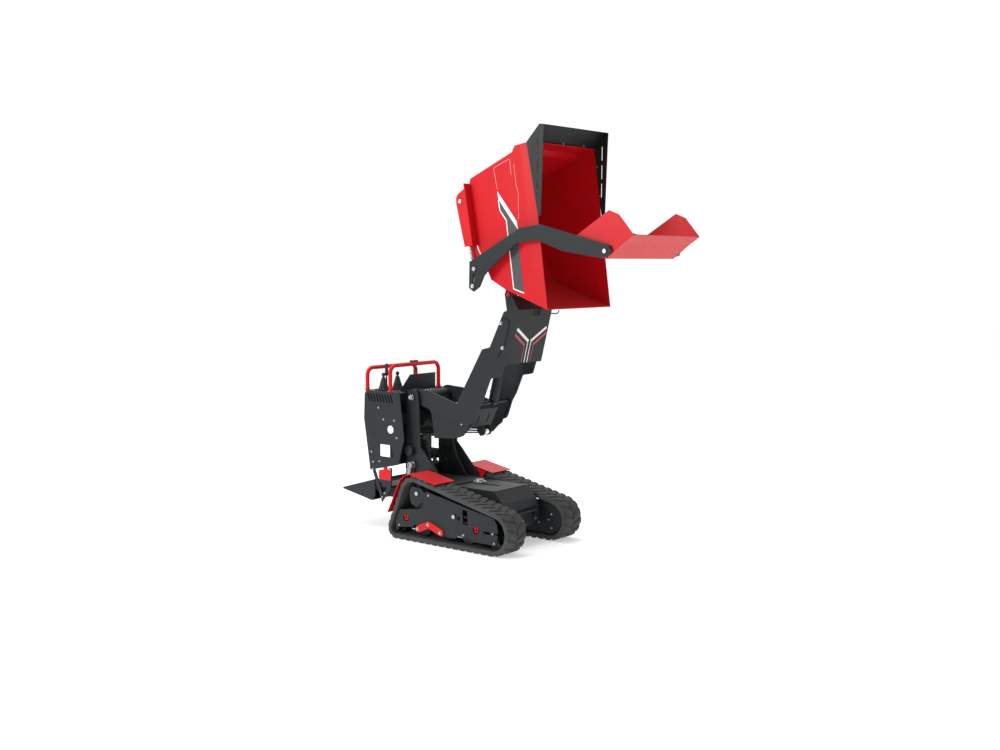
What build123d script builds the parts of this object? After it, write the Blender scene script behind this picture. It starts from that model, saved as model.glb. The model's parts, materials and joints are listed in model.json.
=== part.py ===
"""High-tip tracked site dumper with a self-loading shovel.

Frame: +X forward, +Y to the machine's left, +Z up, ground at Z = 0, the
origin under the middle of the machine's length.  Millimetres.  The boom is
raised and the skip is tipped forward, with the shovel arms half lifted.
"""
from build123d import *
from math import acos, atan2, cos, degrees, hypot, pi, radians, sin
import os

os.makedirs("parts", exist_ok=True)

# ------------------------------------------------------------ driving sizes
overall_width = 850.0
track_width = 200.0
running_gap = 6.0            # between pieces that pass one another
seat_gap = 0.3               # between pieces that rest on one another

# Undercarriage: wheel centres (x, z) and the radius out to the lug tips.
idler_at, idler_reach = (245.0, 155.0), 155.0
sprocket_at, sprocket_reach = (-480.0, 335.0), 138.0
tail_roller_at, tail_roller_reach = (-655.0, 78.0), 78.0
lug_height = 18.0
band_thickness = 20.0
lug_count = 42
lug_length = 30.0
wheel_clearance = 0.3        # wheel rim to the inside of the band
guide_width = 60.0           # wheels run in the middle of the band

belt_inner_y = overall_width / 2 - track_width

# Chassis box between the tracks.
chassis_half_width = belt_inner_y - 35
chassis_top = 392.0
chassis_bottom = 115.0
chassis_nose = [(88.0, 392.0), (157.0, 316.0), (185.0, 262.0), (185.0, 150.0), (150.0, 115.0)]
chassis_rear = -740.0
chassis_wall = 10.0
axle_at, axle_radius = (-96.0, 232.0), 30.0
cover_thickness = 5.0
cover_middle_x = -100.0
cover_bolt_spacing, cover_bolt_hole = 2 * chassis_half_width - 80, 5.5

# Boom hinge, skip hinge and the boom's plates.
boom_hinge = (-676.0, 1013.0)
boom_half_width = chassis_half_width - 3
boom_plate = 12.0
skip_hinge = (165.0, 1776.0)
skip_tip_angle = 82.4        # rim tipped forward from level

# Skip, in its own frame: x forward along the rim, z up, hinge at (0, 0).
rim_height = 492.0
rim_half_width = 365.0
floor_half_width = 340.0
skip_wall = 5.0
side_crease = 410.0          # the sides stand upright above this height

# Shovel arms and shovel, in the skip's frame.
arm_hinge = (-185.0, -45.0)
arm_eye = (-71.0, -73.0)
arm_tip = (-158.0, 1021.0)
arm_inner = rim_half_width + 40
arm_plate = 14.0
scoop_half_width = arm_inner - 7
scoop_wall = 5.0

# Lift, tip and arm cylinders: foot pin and rod eye.
lift_foot, lift_eye = (-860.0, 740.0), (-160.0, 785.0)
tip_foot, tip_eye = (-85.0, 1000.0), (136.5, 1882.0)
arm_foot = (-656.0, -122.0)  # skip frame
arm_cylinder_y = arm_inner - 27
pin_clearance = 0.1          # running fit of a pin in its bore

# Console.
console_half_width = overall_width / 2 - 140
console_sheet = 4.0
deck_height = 1041.0
rail_half_span = console_half_width - 20
rail_tube = 15.0
front_rail_top = deck_height + 211
rear_rail_top = deck_height + 184
rear_rail_x, front_rail_x = -1084.0, -847.0
platform_hinge = (-1022.0, 300.0)
platform_tip_x = -1355.0

track_y = overall_width / 2 - track_width / 2
SIDES = {"right": -1, "left": 1}


# ------------------------------------------------------------------ helpers
def side_plane(side, y):
    """Upright plane at a distance y from the middle, x forward and z up."""
    return Plane.XZ.offset(-side * y)


def skip_plane(side, y):
    """The same in the tipped skip's frame, whose origin is the skip hinge."""
    t = radians(skip_tip_angle)
    frame = Plane(
        origin=(skip_hinge[0], 0, skip_hinge[1]),
        x_dir=(cos(t), 0, -sin(t)),
        z_dir=(0, -1, 0),
    )
    return frame.offset(-side * y)


def in_world(point):
    """A point (x, z) of the skip's frame as x and z of the machine."""
    t = radians(skip_tip_angle)
    return (
        skip_hinge[0] + point[0] * cos(t) + point[1] * sin(t),
        skip_hinge[1] - point[0] * sin(t) + point[1] * cos(t),
    )


def save(piece, name):
    """Label a finished piece and write its STEP file."""
    piece.part.label = name
    export_step(piece.part, f"parts/{name}.step")


def outline(points, mode=Mode.ADD):
    """A closed face through points, inside an open sketch."""
    Polygon(*points, align=None, mode=mode)


def loop_points(inset):
    """Tangent points of a belt around the three track wheels.

    Each row is (start, middle, end) of the arc on one wheel, in the order
    tail roller, idler, sprocket, for a belt inset from the lug tips.
    """
    wheels = [
        (tail_roller_at, tail_roller_reach - inset),
        (idler_at, idler_reach - inset),
        (sprocket_at, sprocket_reach - inset),
    ]
    normals = []
    for (c1, r1), (c2, r2) in zip(wheels, wheels[1:] + wheels[:1]):
        dx, dz = c2[0] - c1[0], c2[1] - c1[1]
        normals.append(atan2(dz, dx) - acos((r1 - r2) / hypot(dx, dz)))
    arcs = []
    for i, (centre, radius) in enumerate(wheels):
        first, last = normals[i - 1], normals[i]
        while last < first:
            last += 2 * pi
        arcs.append(
            [
                (centre[0] + radius * cos(a), centre[1] + radius * sin(a))
                for a in (first, (first + last) / 2, last)
            ]
        )
    return arcs


def loop_line(inset):
    """The closed belt line, drawn in the open BuildLine."""
    arcs = loop_points(inset)
    for i, (start, middle, end) in enumerate(arcs):
        ThreePointArc(start, middle, end)
        Line(end, arcs[(i + 1) % 3][0])


# -------------------------------------------------------------- rubber track
with BuildLine() as lug_path:
    loop_line(lug_height + 3)
lug_wire = lug_path.wire()


def lug_places(phase):
    """Places of the lugs along the band, standing outwards."""
    places = []
    for i in range(lug_count):
        t = ((i + phase) / lug_count) % 1.0
        point, along = lug_wire @ t, lug_wire % t
        places.append(Location((point.X, point.Y), degrees(atan2(along.Y, along.X)) + 180))
    return places


# (inner edge, outer edge, phase): two rows of lugs, half a pitch apart
tread_strips = [(0.0, 0.5, 0.0), (0.5, 1.0, 0.5)]
for side_name, side in SIDES.items():
    with BuildPart() as track_belt:
        for low, high, phase in tread_strips:
            with BuildSketch(side_plane(side, belt_inner_y + low * track_width)):
                with BuildLine():
                    loop_line(lug_height)
                make_face()
                with Locations(*lug_places(phase)):
                    Trapezoid(lug_length, lug_height + 3, 68, align=(Align.CENTER, Align.MIN))
                with BuildLine():
                    loop_line(lug_height + band_thickness)
                make_face(mode=Mode.SUBTRACT)
            extrude(amount=-side * (high - low) * track_width)
    save(track_belt, f"track_belt_{side_name}")

# ------------------------------------------------- track frames and wheels
inset = lug_height + band_thickness
plate_inner_y = belt_inner_y + 25
plate_outer_y, frame_plate = overall_width / 2 - 23, 8.0
motor_plate = 8.0            # bracket behind the outer plate's notch
roller_radius = 63.2
roller_z = inset + roller_radius + wheel_clearance
axle_pin = 16.0
# name, x, z, radius of the plain rollers
plain_rollers = [
    ("tail", tail_roller_at[0], tail_roller_at[1], tail_roller_reach - inset - wheel_clearance),
    ("front", -14.0, roller_z, roller_radius),
]
bogie_rollers = [(-434.0, roller_z), (-218.0, roller_z)]
bogie_pivot = (-332.0, 144.0)
outer_plate_side = [
    (-364, 379), (-55, 318), (256, 261), (284, 226), (296, 160), (279, 78), (63, 76), (40, 98),
    (-70, 98), (-92, 77), (-177, 76), (-205, 128), (-470, 128), (-493, 107), (-656, 85),
    (-662, 125), (-644, 175), (-625, 217), (-522, 231), (-466, 237), (-425, 246), (-399, 264),
    (-385, 330),
]
motor_bracket = [
    (-414, 387), (-507, 400), (-529, 367), (-526, 300), (-509, 262), (-490, 270), (-470, 248),
    (-446, 262), (-430, 284), (-395, 290), (-372, 352),
]
shackle_holes, shackle_hole = [(-560, 165), (100, 161)], 27.0
tension_slot = (232.0, 156.0, 136.0, 18.0)
link_offset, link_plate = 0.3, 10.0

for side_name, side in SIDES.items():
    with BuildPart() as track_frame:
        with BuildSketch(side_plane(side, plate_outer_y)):
            outline(outer_plate_side)
            outline([(-24, 290), (20, 286), (26, 186), (-18, 190)], mode=Mode.SUBTRACT)
            with Locations((-57, 223)):
                SlotOverall(34, 14, rotation=62, mode=Mode.SUBTRACT)
            with Locations(*shackle_holes):
                Circle(shackle_hole, mode=Mode.SUBTRACT)
            with Locations(bogie_pivot):
                Circle(axle_pin + pin_clearance, mode=Mode.SUBTRACT)
            with Locations(tension_slot[:2]):
                SlotOverall(tension_slot[2], tension_slot[3], mode=Mode.SUBTRACT)
        extrude(amount=-side * frame_plate)
        with BuildSketch(side_plane(side, plate_outer_y - motor_plate)):
            outline(motor_bracket)
        extrude(amount=-side * motor_plate)
        with BuildSketch(side_plane(side, plate_inner_y - frame_plate)):
            with BuildLine():
                loop_line(inset + 12)
            make_face()
            with Locations(axle_at):
                Circle(axle_radius + pin_clearance, mode=Mode.SUBTRACT)
        extrude(amount=-side * frame_plate)
        # box beam between the plates, above the rollers
        with BuildSketch(side_plane(side, plate_inner_y)):
            outline([(-560, 196), (-560, 226), (-345, 226), (-250, 285), (60, 232), (60, 196)])
            outline([(-550, 204), (-550, 218), (-343, 218), (-249, 276), (50, 225), (50, 204)],
                    mode=Mode.SUBTRACT)
        extrude(amount=-side * (plate_outer_y - plate_inner_y))
        # shackle ends across the two plates, and the axle's outer cap
        for x, z in shackle_holes:
            with BuildSketch(side_plane(side, plate_inner_y)):
                with Locations((x, z + 36)):
                    Rectangle(2 * shackle_hole, 10)
            extrude(amount=-side * (plate_outer_y - plate_inner_y))
        with BuildSketch(side_plane(side, plate_outer_y)):
            with Locations(axle_at):
                Circle(19)
        extrude(amount=-side * (frame_plate + 7))
    save(track_frame, f"track_frame_{side_name}")

    wheel_mid = track_y
    with BuildPart() as sprocket:
        with BuildSketch(side_plane(side, wheel_mid)):
            with Locations(sprocket_at):
                Circle(sprocket_reach - inset - wheel_clearance)
                with PolarLocations(68, 6):
                    Circle(13, mode=Mode.SUBTRACT)
        extrude(amount=guide_width / 2, both=True)
        with BuildSketch(side_plane(side, plate_inner_y + seat_gap)):
            with Locations(sprocket_at):
                Circle(48)
        extrude(amount=-side * (plate_outer_y - motor_plate - plate_inner_y - 2 * seat_gap))
    save(sprocket, f"drive_sprocket_{side_name}")

    with BuildPart() as idler:
        with BuildSketch(side_plane(side, wheel_mid)):
            with Locations(idler_at):
                Circle(idler_reach - inset - wheel_clearance)
                with PolarLocations(70, 6):
                    Circle(20, mode=Mode.SUBTRACT)
        extrude(amount=guide_width / 2, both=True)
        with BuildSketch(side_plane(side, plate_inner_y + seat_gap)):
            with Locations(idler_at):
                Circle(30)
        extrude(amount=-side * (plate_outer_y - plate_inner_y - 2 * seat_gap))
    save(idler, f"front_idler_{side_name}")

    for name, x, z, radius in plain_rollers:
        with BuildPart() as roller:
            with BuildSketch(side_plane(side, wheel_mid)):
                with Locations((x, z)):
                    Circle(radius)
            extrude(amount=guide_width / 2, both=True)
            with BuildSketch(side_plane(side, plate_inner_y + seat_gap)):
                with Locations((x, z)):
                    Circle(axle_pin)
            extrude(amount=-side * (plate_outer_y - plate_inner_y - 2 * seat_gap))
        save(roller, f"{name}_roller_{side_name}")

    # two rollers on a rocking link outside the plate, its pivot pin through it
    link_y = plate_outer_y + frame_plate + link_offset
    with BuildPart() as bogie:
        for x, z in bogie_rollers:
            with BuildSketch(side_plane(side, wheel_mid)):
                with Locations((x, z)):
                    Circle(roller_radius)
            extrude(amount=guide_width / 2, both=True)
            with BuildSketch(side_plane(side, link_y)):
                with Locations((x, z)):
                    Circle(axle_pin)
            extrude(amount=side * (link_y - wheel_mid + guide_width))
        with BuildSketch(side_plane(side, link_y)):
            with BuildLine():
                Polyline(bogie_rollers[0], bogie_pivot, bogie_rollers[1])
                offset(amount=24)
            make_face()
        extrude(amount=-side * link_plate)
        with BuildSketch(side_plane(side, plate_inner_y + seat_gap)):
            with Locations(bogie_pivot):
                Circle(axle_pin)
        extrude(amount=-side * (link_y - plate_inner_y))
    save(bogie, f"bogie_{side_name}")

    # red guard over the driven end of the track
    with BuildPart() as fender:
        with BuildSketch(side_plane(side, chassis_half_width + 25)):
            outline([(-733, 186), (-622, 408), (-600, 444), (-562, 474), (-512, 490),
                     (-264, 441), (-265, 436), (-512, 484), (-559, 469), (-596, 440),
                     (-617.5, 406), (-728.5, 184)])
        extrude(amount=-side * (overall_width / 2 - chassis_half_width - 25))
        with BuildSketch(side_plane(side, chassis_half_width + 25)):
            outline([(-540, 476), (-330, 446), (-400, 340), (-470, 340)])
        extrude(amount=-side * 5)
        with BuildSketch(side_plane(side, chassis_half_width + seat_gap)):
            outline([(-470, 340), (-400, 340), (-400, 376), (-470, 376)])
        extrude(amount=-side * 26)
    save(fender, f"fender_{side_name}")

# ------------------------------------------------------------------ chassis
with BuildPart() as chassis:
    with BuildSketch(Plane.XZ):
        outline([(chassis_rear, chassis_top)] + chassis_nose + [(chassis_rear, chassis_bottom)])
    extrude(amount=chassis_half_width, both=True)
    with BuildSketch(Plane.XZ) as hollow_side:
        outline([(chassis_rear, chassis_top)] + chassis_nose + [(chassis_rear, chassis_bottom)])
        offset(amount=-chassis_wall, mode=Mode.REPLACE)
    extrude(amount=chassis_half_width - chassis_wall, both=True, mode=Mode.SUBTRACT)
    # belly opening, and the axle tube that carries the track frames
    with BuildSketch(Plane.XY.offset(chassis_bottom - 1)):
        with Locations((-280, 0)):
            RectangleRounded(520, 240, 30)
    extrude(amount=chassis_wall + 2, mode=Mode.SUBTRACT)
    with BuildSketch(Plane.XZ):
        with Locations(axle_at):
            Circle(axle_radius)
    extrude(amount=plate_inner_y - seat_gap, both=True)
    with BuildSketch(Plane.XY.offset(chassis_top)):
        with Locations((cover_middle_x, 0)):
            with GridLocations(cover_bolt_spacing, cover_bolt_spacing, 2, 2):
                Circle(cover_bolt_hole)
    extrude(amount=-chassis_wall - 5, mode=Mode.SUBTRACT)
    with BuildSketch(Plane.XZ):
        with Locations((-430, 215)):
            Rectangle(90, 60)
    extrude(amount=plate_inner_y - frame_plate - seat_gap, both=True)
save(chassis, "chassis_frame")

with BuildPart() as cover:
    with BuildSketch(Plane.XY.offset(chassis_top + seat_gap)):
        with Locations((cover_middle_x, 0)):
            RectangleRounded(cover_bolt_spacing + 60, 2 * chassis_half_width - 10, 14)
            RectangleRounded(120, 60, 10, mode=Mode.SUBTRACT)
            with GridLocations(cover_bolt_spacing, cover_bolt_spacing, 2, 2):
                Circle(cover_bolt_hole, mode=Mode.SUBTRACT)
    extrude(amount=cover_thickness)
save(cover, "chassis_cover")

# ---------------------------------------------------------- mast and rear
mast_floor = chassis_top + seat_gap
mast_plate = 12.0
cheek_y = chassis_half_width + 8
web_y = cheek_y - 60
with BuildPart() as mast:
    with BuildSketch(Plane.XY.offset(mast_floor)):
        with Locations((-514, 0)):
            Rectangle(442, 2 * (cheek_y + mast_plate))
    extrude(amount=mast_plate)
    for side in SIDES.values():
        with BuildSketch(side_plane(side, cheek_y)):
            outline([(-735, mast_floor), (-735, 1010), (-617, 1010), (-606, 650), (-555, 600),
                     (-402, 436), (-380, mast_floor)])
            with Locations(boom_hinge):
                Circle(59)
                Circle(25 + pin_clearance, mode=Mode.SUBTRACT)
        extrude(amount=-side * mast_plate)
        with BuildSketch(side_plane(side, web_y)):
            outline([(-735, mast_floor), (-735, 700), (-600, 700), (-560, 560), (-440, mast_floor)])
            with Locations((-645, 560)):
                RectangleRounded(80, 110, 20, mode=Mode.SUBTRACT)
        extrude(amount=-side * mast_plate)
    with BuildSketch(Plane.YZ.offset(-735)):
        with Locations((0, mast_floor)):
            Rectangle(2 * (cheek_y + mast_plate), 90, align=(Align.CENTER, Align.MIN))
    extrude(amount=mast_plate)
save(mast, "mast_frame")

with BuildPart() as boom_pin:
    with BuildSketch(Plane.XZ):
        with Locations(boom_hinge):
            Circle(25)
    extrude(amount=cheek_y + mast_plate + 8, both=True)
save(boom_pin, "boom_pin")

# rear frame: box behind the chassis, cylinder anchor, console brackets
rear_box_rear = -1000.0
rear_box_half_width = chassis_half_width - 10
bracket_y = console_half_width - 17
with BuildPart() as rear_frame:
    with BuildSketch(Plane.XZ):
        outline([(chassis_rear - seat_gap, 239), (chassis_rear - seat_gap, 342),
                 (rear_box_rear, 342), (rear_box_rear, 239)])
    extrude(amount=rear_box_half_width, both=True)
    with BuildSketch(Plane.XY.offset(330)):
        with Locations((-883, 0)):
            Rectangle(94, 2 * (bracket_y + 12))
    extrude(amount=12)
    for side in SIDES.values():
        with BuildSketch(side_plane(side, bracket_y)):
            outline([(-959, 364), (-836, 364), (-836, 455), (-880, 468), (-880, 505),
                     (-910, 498), (-910, 462), (-959, 452)])
            outline([(-930, 330), (-836, 330), (-836, 380), (-930, 380)])
        extrude(amount=-side * 12.5)
        with BuildSketch(side_plane(side, 34)):
            outline([(-905, 340), (-905, 770), (-875, 778), (-835, 765), (-812, 700), (-800, 340)])
            with Locations(lift_foot):
                Circle(15 + pin_clearance, mode=Mode.SUBTRACT)
        extrude(amount=-side * 12)
        with BuildSketch(side_plane(side, rear_box_half_width)):
            outline([(-1040, 300), (-1028, 322), (-990, 330), (-990, 260), (-1028, 285)])
        extrude(amount=side * 12)
    with BuildSketch(Plane.XZ):
        with Locations(platform_hinge):
            Circle(10)
    extrude(amount=rear_box_half_width + 1, both=True)
save(rear_frame, "rear_frame")

# --------------------------------------------------------------------- boom
boom_side = [
    (-676, 1074), (-533, 1066), (-269, 992), (-31, 1391), (39, 1409), (164, 1658), (205, 1672),
    (205, 1768), (236, 1768), (293, 1677), (197, 1300), (165, 1295), (134, 1208), (96, 1198),
    (53, 1193), (41, 1184), (-14, 1058), (-52, 999), (-91, 893), (-106, 870), (-142, 855),
    (-167, 832), (-222, 849), (-478, 912), (-561, 943), (-640, 962),
]
gusset_side = [(-522, 899), (-560, 965), (-300, 960), (-90, 960), (-140, 832), (-178, 806),
               (-225, 759), (-286, 740), (-493, 722)]
boom_inner_y = boom_half_width - boom_plate
gusset_inner_y = boom_inner_y - boom_plate
boom_pin_radius = 25.0
for side_name, side in SIDES.items():
    with BuildPart() as boom_web:
        with BuildSketch(side_plane(side, boom_inner_y)):
            outline(boom_side)
            with Locations(boom_hinge):
                Circle(62)
                Circle(boom_pin_radius + pin_clearance, mode=Mode.SUBTRACT)
        extrude(amount=-side * boom_plate)
        with BuildSketch(side_plane(side, gusset_inner_y)):
            outline(gusset_side)
            with Locations((-240, 849)):
                Circle(12, mode=Mode.SUBTRACT)
        extrude(amount=-side * boom_plate)
    save(boom_web, f"boom_plate_{side_name}")

with BuildPart() as boom_tube:
    with BuildSketch(Plane.XZ):
        with Locations(boom_hinge):
            Circle(42)
            Circle(boom_pin_radius + pin_clearance, mode=Mode.SUBTRACT)
    extrude(amount=boom_inner_y - seat_gap, both=True)
save(boom_tube, "boom_hinge_tube")

ear_y, ear_plate = boom_half_width - 65, 12.0
head_window = (15.0, 1652.0, 90.0, 44.0)
skip_pin_radius = 15.0
with BuildPart() as boom_head:
    with BuildSketch(Plane.XZ):
        outline([(301, 1675), (205, 1298), (197.4, 1300), (293.4, 1677)])
    extrude(amount=boom_half_width, both=True)
    with BuildSketch(Plane.XZ):
        outline([(301, 1675), (291, 1672), (235, 1765), (242, 1769)])
    extrude(amount=boom_inner_y - seat_gap, both=True)
    with BuildSketch(Plane.YZ.offset(240)):
        with Locations(head_window[:2]):
            RectangleRounded(head_window[2], head_window[3], 8)
    extrude(amount=80, mode=Mode.SUBTRACT)
    for side in SIDES.values():
        with BuildSketch(side_plane(side, ear_y)):
            outline([(294, 1677), (238, 1768), (165, 1810), (131, 1776), (150, 1660),
                     (170, 1420), (198, 1300)])
            with Locations(skip_hinge):
                Circle(34)
                Circle(skip_pin_radius + pin_clearance, mode=Mode.SUBTRACT)
        extrude(amount=-side * ear_plate)
    with BuildSketch(Plane.XZ):
        with Locations((190, 1500)):
            Circle(18)
    extrude(amount=boom_inner_y - seat_gap, both=True)
save(boom_head, "boom_head")

lift_lug_y, lug_plate = 28.0, 12.0
knee_left_edge = lift_lug_y + lug_plate + 5
with BuildPart() as boom_knee:
    # plate across the elbow, from the right gusset to past the cylinder lugs
    with BuildSketch(Plane.XZ.offset(-knee_left_edge)):
        outline([(-78, 960), (-142, 830), (-149.2, 833.5), (-85.2, 963.5)])
    extrude(amount=knee_left_edge + gusset_inner_y - seat_gap)
    for side in SIDES.values():
        with BuildSketch(side_plane(side, lift_lug_y)):
            outline([(-84, 960), (-144, 830), (-125, 790), (-170, 752), (-205, 790), (-178, 850),
                     (-118, 955)])
            with Locations(lift_eye):
                Circle(30)
        extrude(amount=-side * lug_plate)
save(boom_knee, "boom_knee")

with BuildPart() as tip_pin:
    with BuildSketch(Plane.XZ):
        with Locations(tip_foot):
            Circle(15)
    extrude(amount=boom_inner_y - seat_gap, both=True)
save(tip_pin, "tip_cylinder_pin")

with BuildPart() as lift_pin:
    with BuildSketch(Plane.XZ):
        with Locations(lift_foot):
            Circle(15)
    extrude(amount=50, both=True)
save(lift_pin, "lift_cylinder_pin")

# --------------------------------------------------------------------- skip
skip_side = [(-950, 492), (-945, 359), (-909, 332), (-803, -62), (-775, -74), (-332, -54),
             (-102, 34), (-28, 142), (153, 492)]
with BuildPart() as skip_tub:
    with BuildSketch(skip_plane(1, 0)):
        outline(skip_side)
    extrude(amount=rim_half_width, both=True)
    across = Plane(origin=(skip_hinge[0], 0, skip_hinge[1]), x_dir=(0, 1, 0),
                   z_dir=skip_plane(1, 0).x_dir)
    with BuildSketch(across):
        # front view: upright band under the rim, slanting to the floor
        half = [(rim_half_width, rim_height + 10), (rim_half_width, side_crease),
                (floor_half_width, -90)]
        outline(half + [(-x, z) for x, z in reversed(half)])
    extrude(amount=1400, both=True, mode=Mode.INTERSECT)
    rim_face = skip_tub.faces().sort_by(Axis((0, 0, 0), skip_plane(1, 0).y_dir))[-1]
    offset(amount=-skip_wall, openings=rim_face)
save(skip_tub, "skip_tub")

hood_inner_y, hood_sheet = rim_half_width + seat_gap, 4.0
hood_strip = [(-956, 470), (-1045, 585), (-1036, 620)]
with BuildPart() as hood:
    for side in SIDES.values():
        with BuildSketch(skip_plane(side, hood_inner_y)):
            outline([(-950, 466), (-1045, 585), (-1036, 620), (-950, 604), (-460, 519),
                     (-460, 497), (-930, 466)])
            with Locations(*[(-905 + 125 * i, 552 - 18 * i) for i in range(3)]):
                SlotOverall(96, 7, rotation=-8, mode=Mode.SUBTRACT)
        extrude(amount=-side * hood_sheet)
    with BuildSketch(skip_plane(1, 0)):
        outline([(-951.5, 478), (-951.5, 466), (-1045, 585), (-1036, 620), (-1032, 619),
                 (-1040.6, 586.5)])
    extrude(amount=hood_inner_y + 1, both=True)
save(hood, "skip_hood")

skip_lug_y, inner_lug_y = ear_y - 17, 28.0
tip_eye_local = (-108.8, -14.2)
arm_pin_radius = 12.0
channel_y, channel_plate = rim_half_width - 19, 8.0
channel_cover_y, channel_cover = arm_inner - 9, 4.0
arm_tube_end = channel_y + channel_plate + 4
with BuildPart() as carrier:
    with BuildSketch(skip_plane(1, 0)):
        outline([(-332, -54.4), (-102.2, 33.5), (-99, 26), (-333, -62.5)])
    extrude(amount=132, both=True)
    for side in SIDES.values():
        with BuildSketch(skip_plane(side, skip_lug_y)):
            outline([(-330, -58), (-102, 30), (-24, 140), (26, 15), (0, -30), (-150, -62),
                     (-215, -79)])
            Circle(30)
            with Locations(arm_hinge):
                Circle(34)
        extrude(amount=-side * lug_plate)
        with BuildSketch(skip_plane(side, inner_lug_y)):
            outline([(-150, 8), (-100, 28), (-84, -14), (-108, -38), (-133, -20)])
            with Locations(tip_eye_local):
                Circle(26)
        extrude(amount=-side * lug_plate)
        with BuildSketch(skip_plane(side, skip_lug_y)):
            with Locations(arm_hinge):
                Circle(22)
        extrude(amount=-side * (arm_tube_end - skip_lug_y))
        with BuildSketch(skip_plane(side, arm_tube_end - 1)):
            with Locations(arm_hinge):
                Circle(arm_pin_radius)
        extrude(amount=-side * (arm_inner + arm_plate + 7 - arm_tube_end))
        with BuildSketch(skip_plane(side, skip_lug_y)):
            Circle(skip_pin_radius)
        extrude(amount=-side * (ear_y + ear_plate + 6 - skip_lug_y))
save(carrier, "skip_carrier")

channel_inner_y = floor_half_width - 40
for side_name, side in SIDES.items():
    with BuildPart() as channel:
        with BuildSketch(skip_plane(side, channel_y)):
            outline([(-700, -76), (-706, -140), (-656, -155), (-205, -86), (-152, -60),
                     (-152, -20), (-240, -26), (-334, -60)])
            with Locations(arm_hinge):
                Circle(22 + pin_clearance, mode=Mode.SUBTRACT)
        extrude(amount=-side * channel_plate)
        with BuildSketch(skip_plane(side, channel_inner_y)):
            outline([(-770, -74.3), (-345, -55), (-345, -60.5), (-770, -80)])
            outline([(-700, -76), (-706, -140), (-698, -143), (-692, -80)])
        extrude(amount=-side * (channel_cover_y + channel_cover - channel_inner_y))
        with BuildSketch(skip_plane(side, channel_inner_y)):
            outline([(-700, -76), (-706, -140), (-656, -155), (-420, -118), (-420, -62)])
        extrude(amount=-side * channel_plate)
        # outer cover that hides the cylinder, open towards the ground
        with BuildSketch(skip_plane(side, channel_cover_y)):
            outline([(-735, -78.5), (-706, -140), (-680, -158), (-640, -160), (-345, -124),
                     (-345, -55)])
        extrude(amount=-side * channel_cover)
        with BuildSketch(skip_plane(side, channel_y)):
            with Locations(arm_foot):
                Circle(arm_pin_radius)
        extrude(amount=-side * (channel_cover_y - channel_y))
    save(channel, f"cylinder_channel_{side_name}")

# ---------------------------------------------------- shovel arms and shovel
arm_side = [
    (-237, -81), (-63, -108), (-35, -73), (-59, -20), (-128, 29), (-153, 61), (-306, 335),
    (-298, 512), (-202, 701), (-118, 989), (-128, 1050), (-157, 1067), (-190, 1052),
    (-398, 540), (-399, 378),
]
scoop_pin_radius = 10.0
arm_slot = (-126.0, -59.5, 66.0, 13.0, -13.8)   # middle, length, width, tilt
for side_name, side in SIDES.items():
    with BuildPart() as arm:
        with BuildSketch(skip_plane(side, arm_inner)):
            outline(arm_side)
            with Locations(arm_hinge):
                Circle(arm_pin_radius + pin_clearance, mode=Mode.SUBTRACT)
            with Locations(arm_tip):
                Circle(scoop_pin_radius + pin_clearance, mode=Mode.SUBTRACT)
            with Locations(arm_slot[:2]):
                SlotOverall(arm_slot[2], arm_slot[3], rotation=arm_slot[4], mode=Mode.SUBTRACT)
        extrude(amount=-side * arm_plate)
    save(arm, f"shovel_arm_{side_name}")

with BuildPart() as cross_tube:
    with BuildSketch(skip_plane(1, 0)):
        with Locations((-245, 760)):
            Circle(18)
    extrude(amount=arm_inner - seat_gap, both=True)
save(cross_tube, "arm_cross_tube")

scoop_side = [(-289, 809), (-406, 1070), (-368, 1139), (-227, 1231), (-188, 1150), (-111, 1013)]
scoop_hollow = [(-319.1, 782.1), (-117.1, 1013.6), (-192.5, 1147.7), (-248.9, 1264.8),
                (-600, 1300), (-600, 780)]
with BuildPart() as scoop:
    with BuildSketch(skip_plane(1, 0)):
        outline(scoop_side)
    extrude(amount=scoop_half_width, both=True)
    with BuildSketch(skip_plane(1, 0)):
        outline(scoop_hollow)
    extrude(amount=scoop_half_width - scoop_wall, both=True, mode=Mode.SUBTRACT)
    for side in SIDES.values():
        with BuildSketch(skip_plane(side, scoop_half_width - 1)):
            with Locations(arm_tip):
                Circle(scoop_pin_radius)
        extrude(amount=-side * 26)
save(scoop, "shovel_scoop")

# ---------------------------------------------------------------- cylinders
slide_clearance = 0.1
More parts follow.
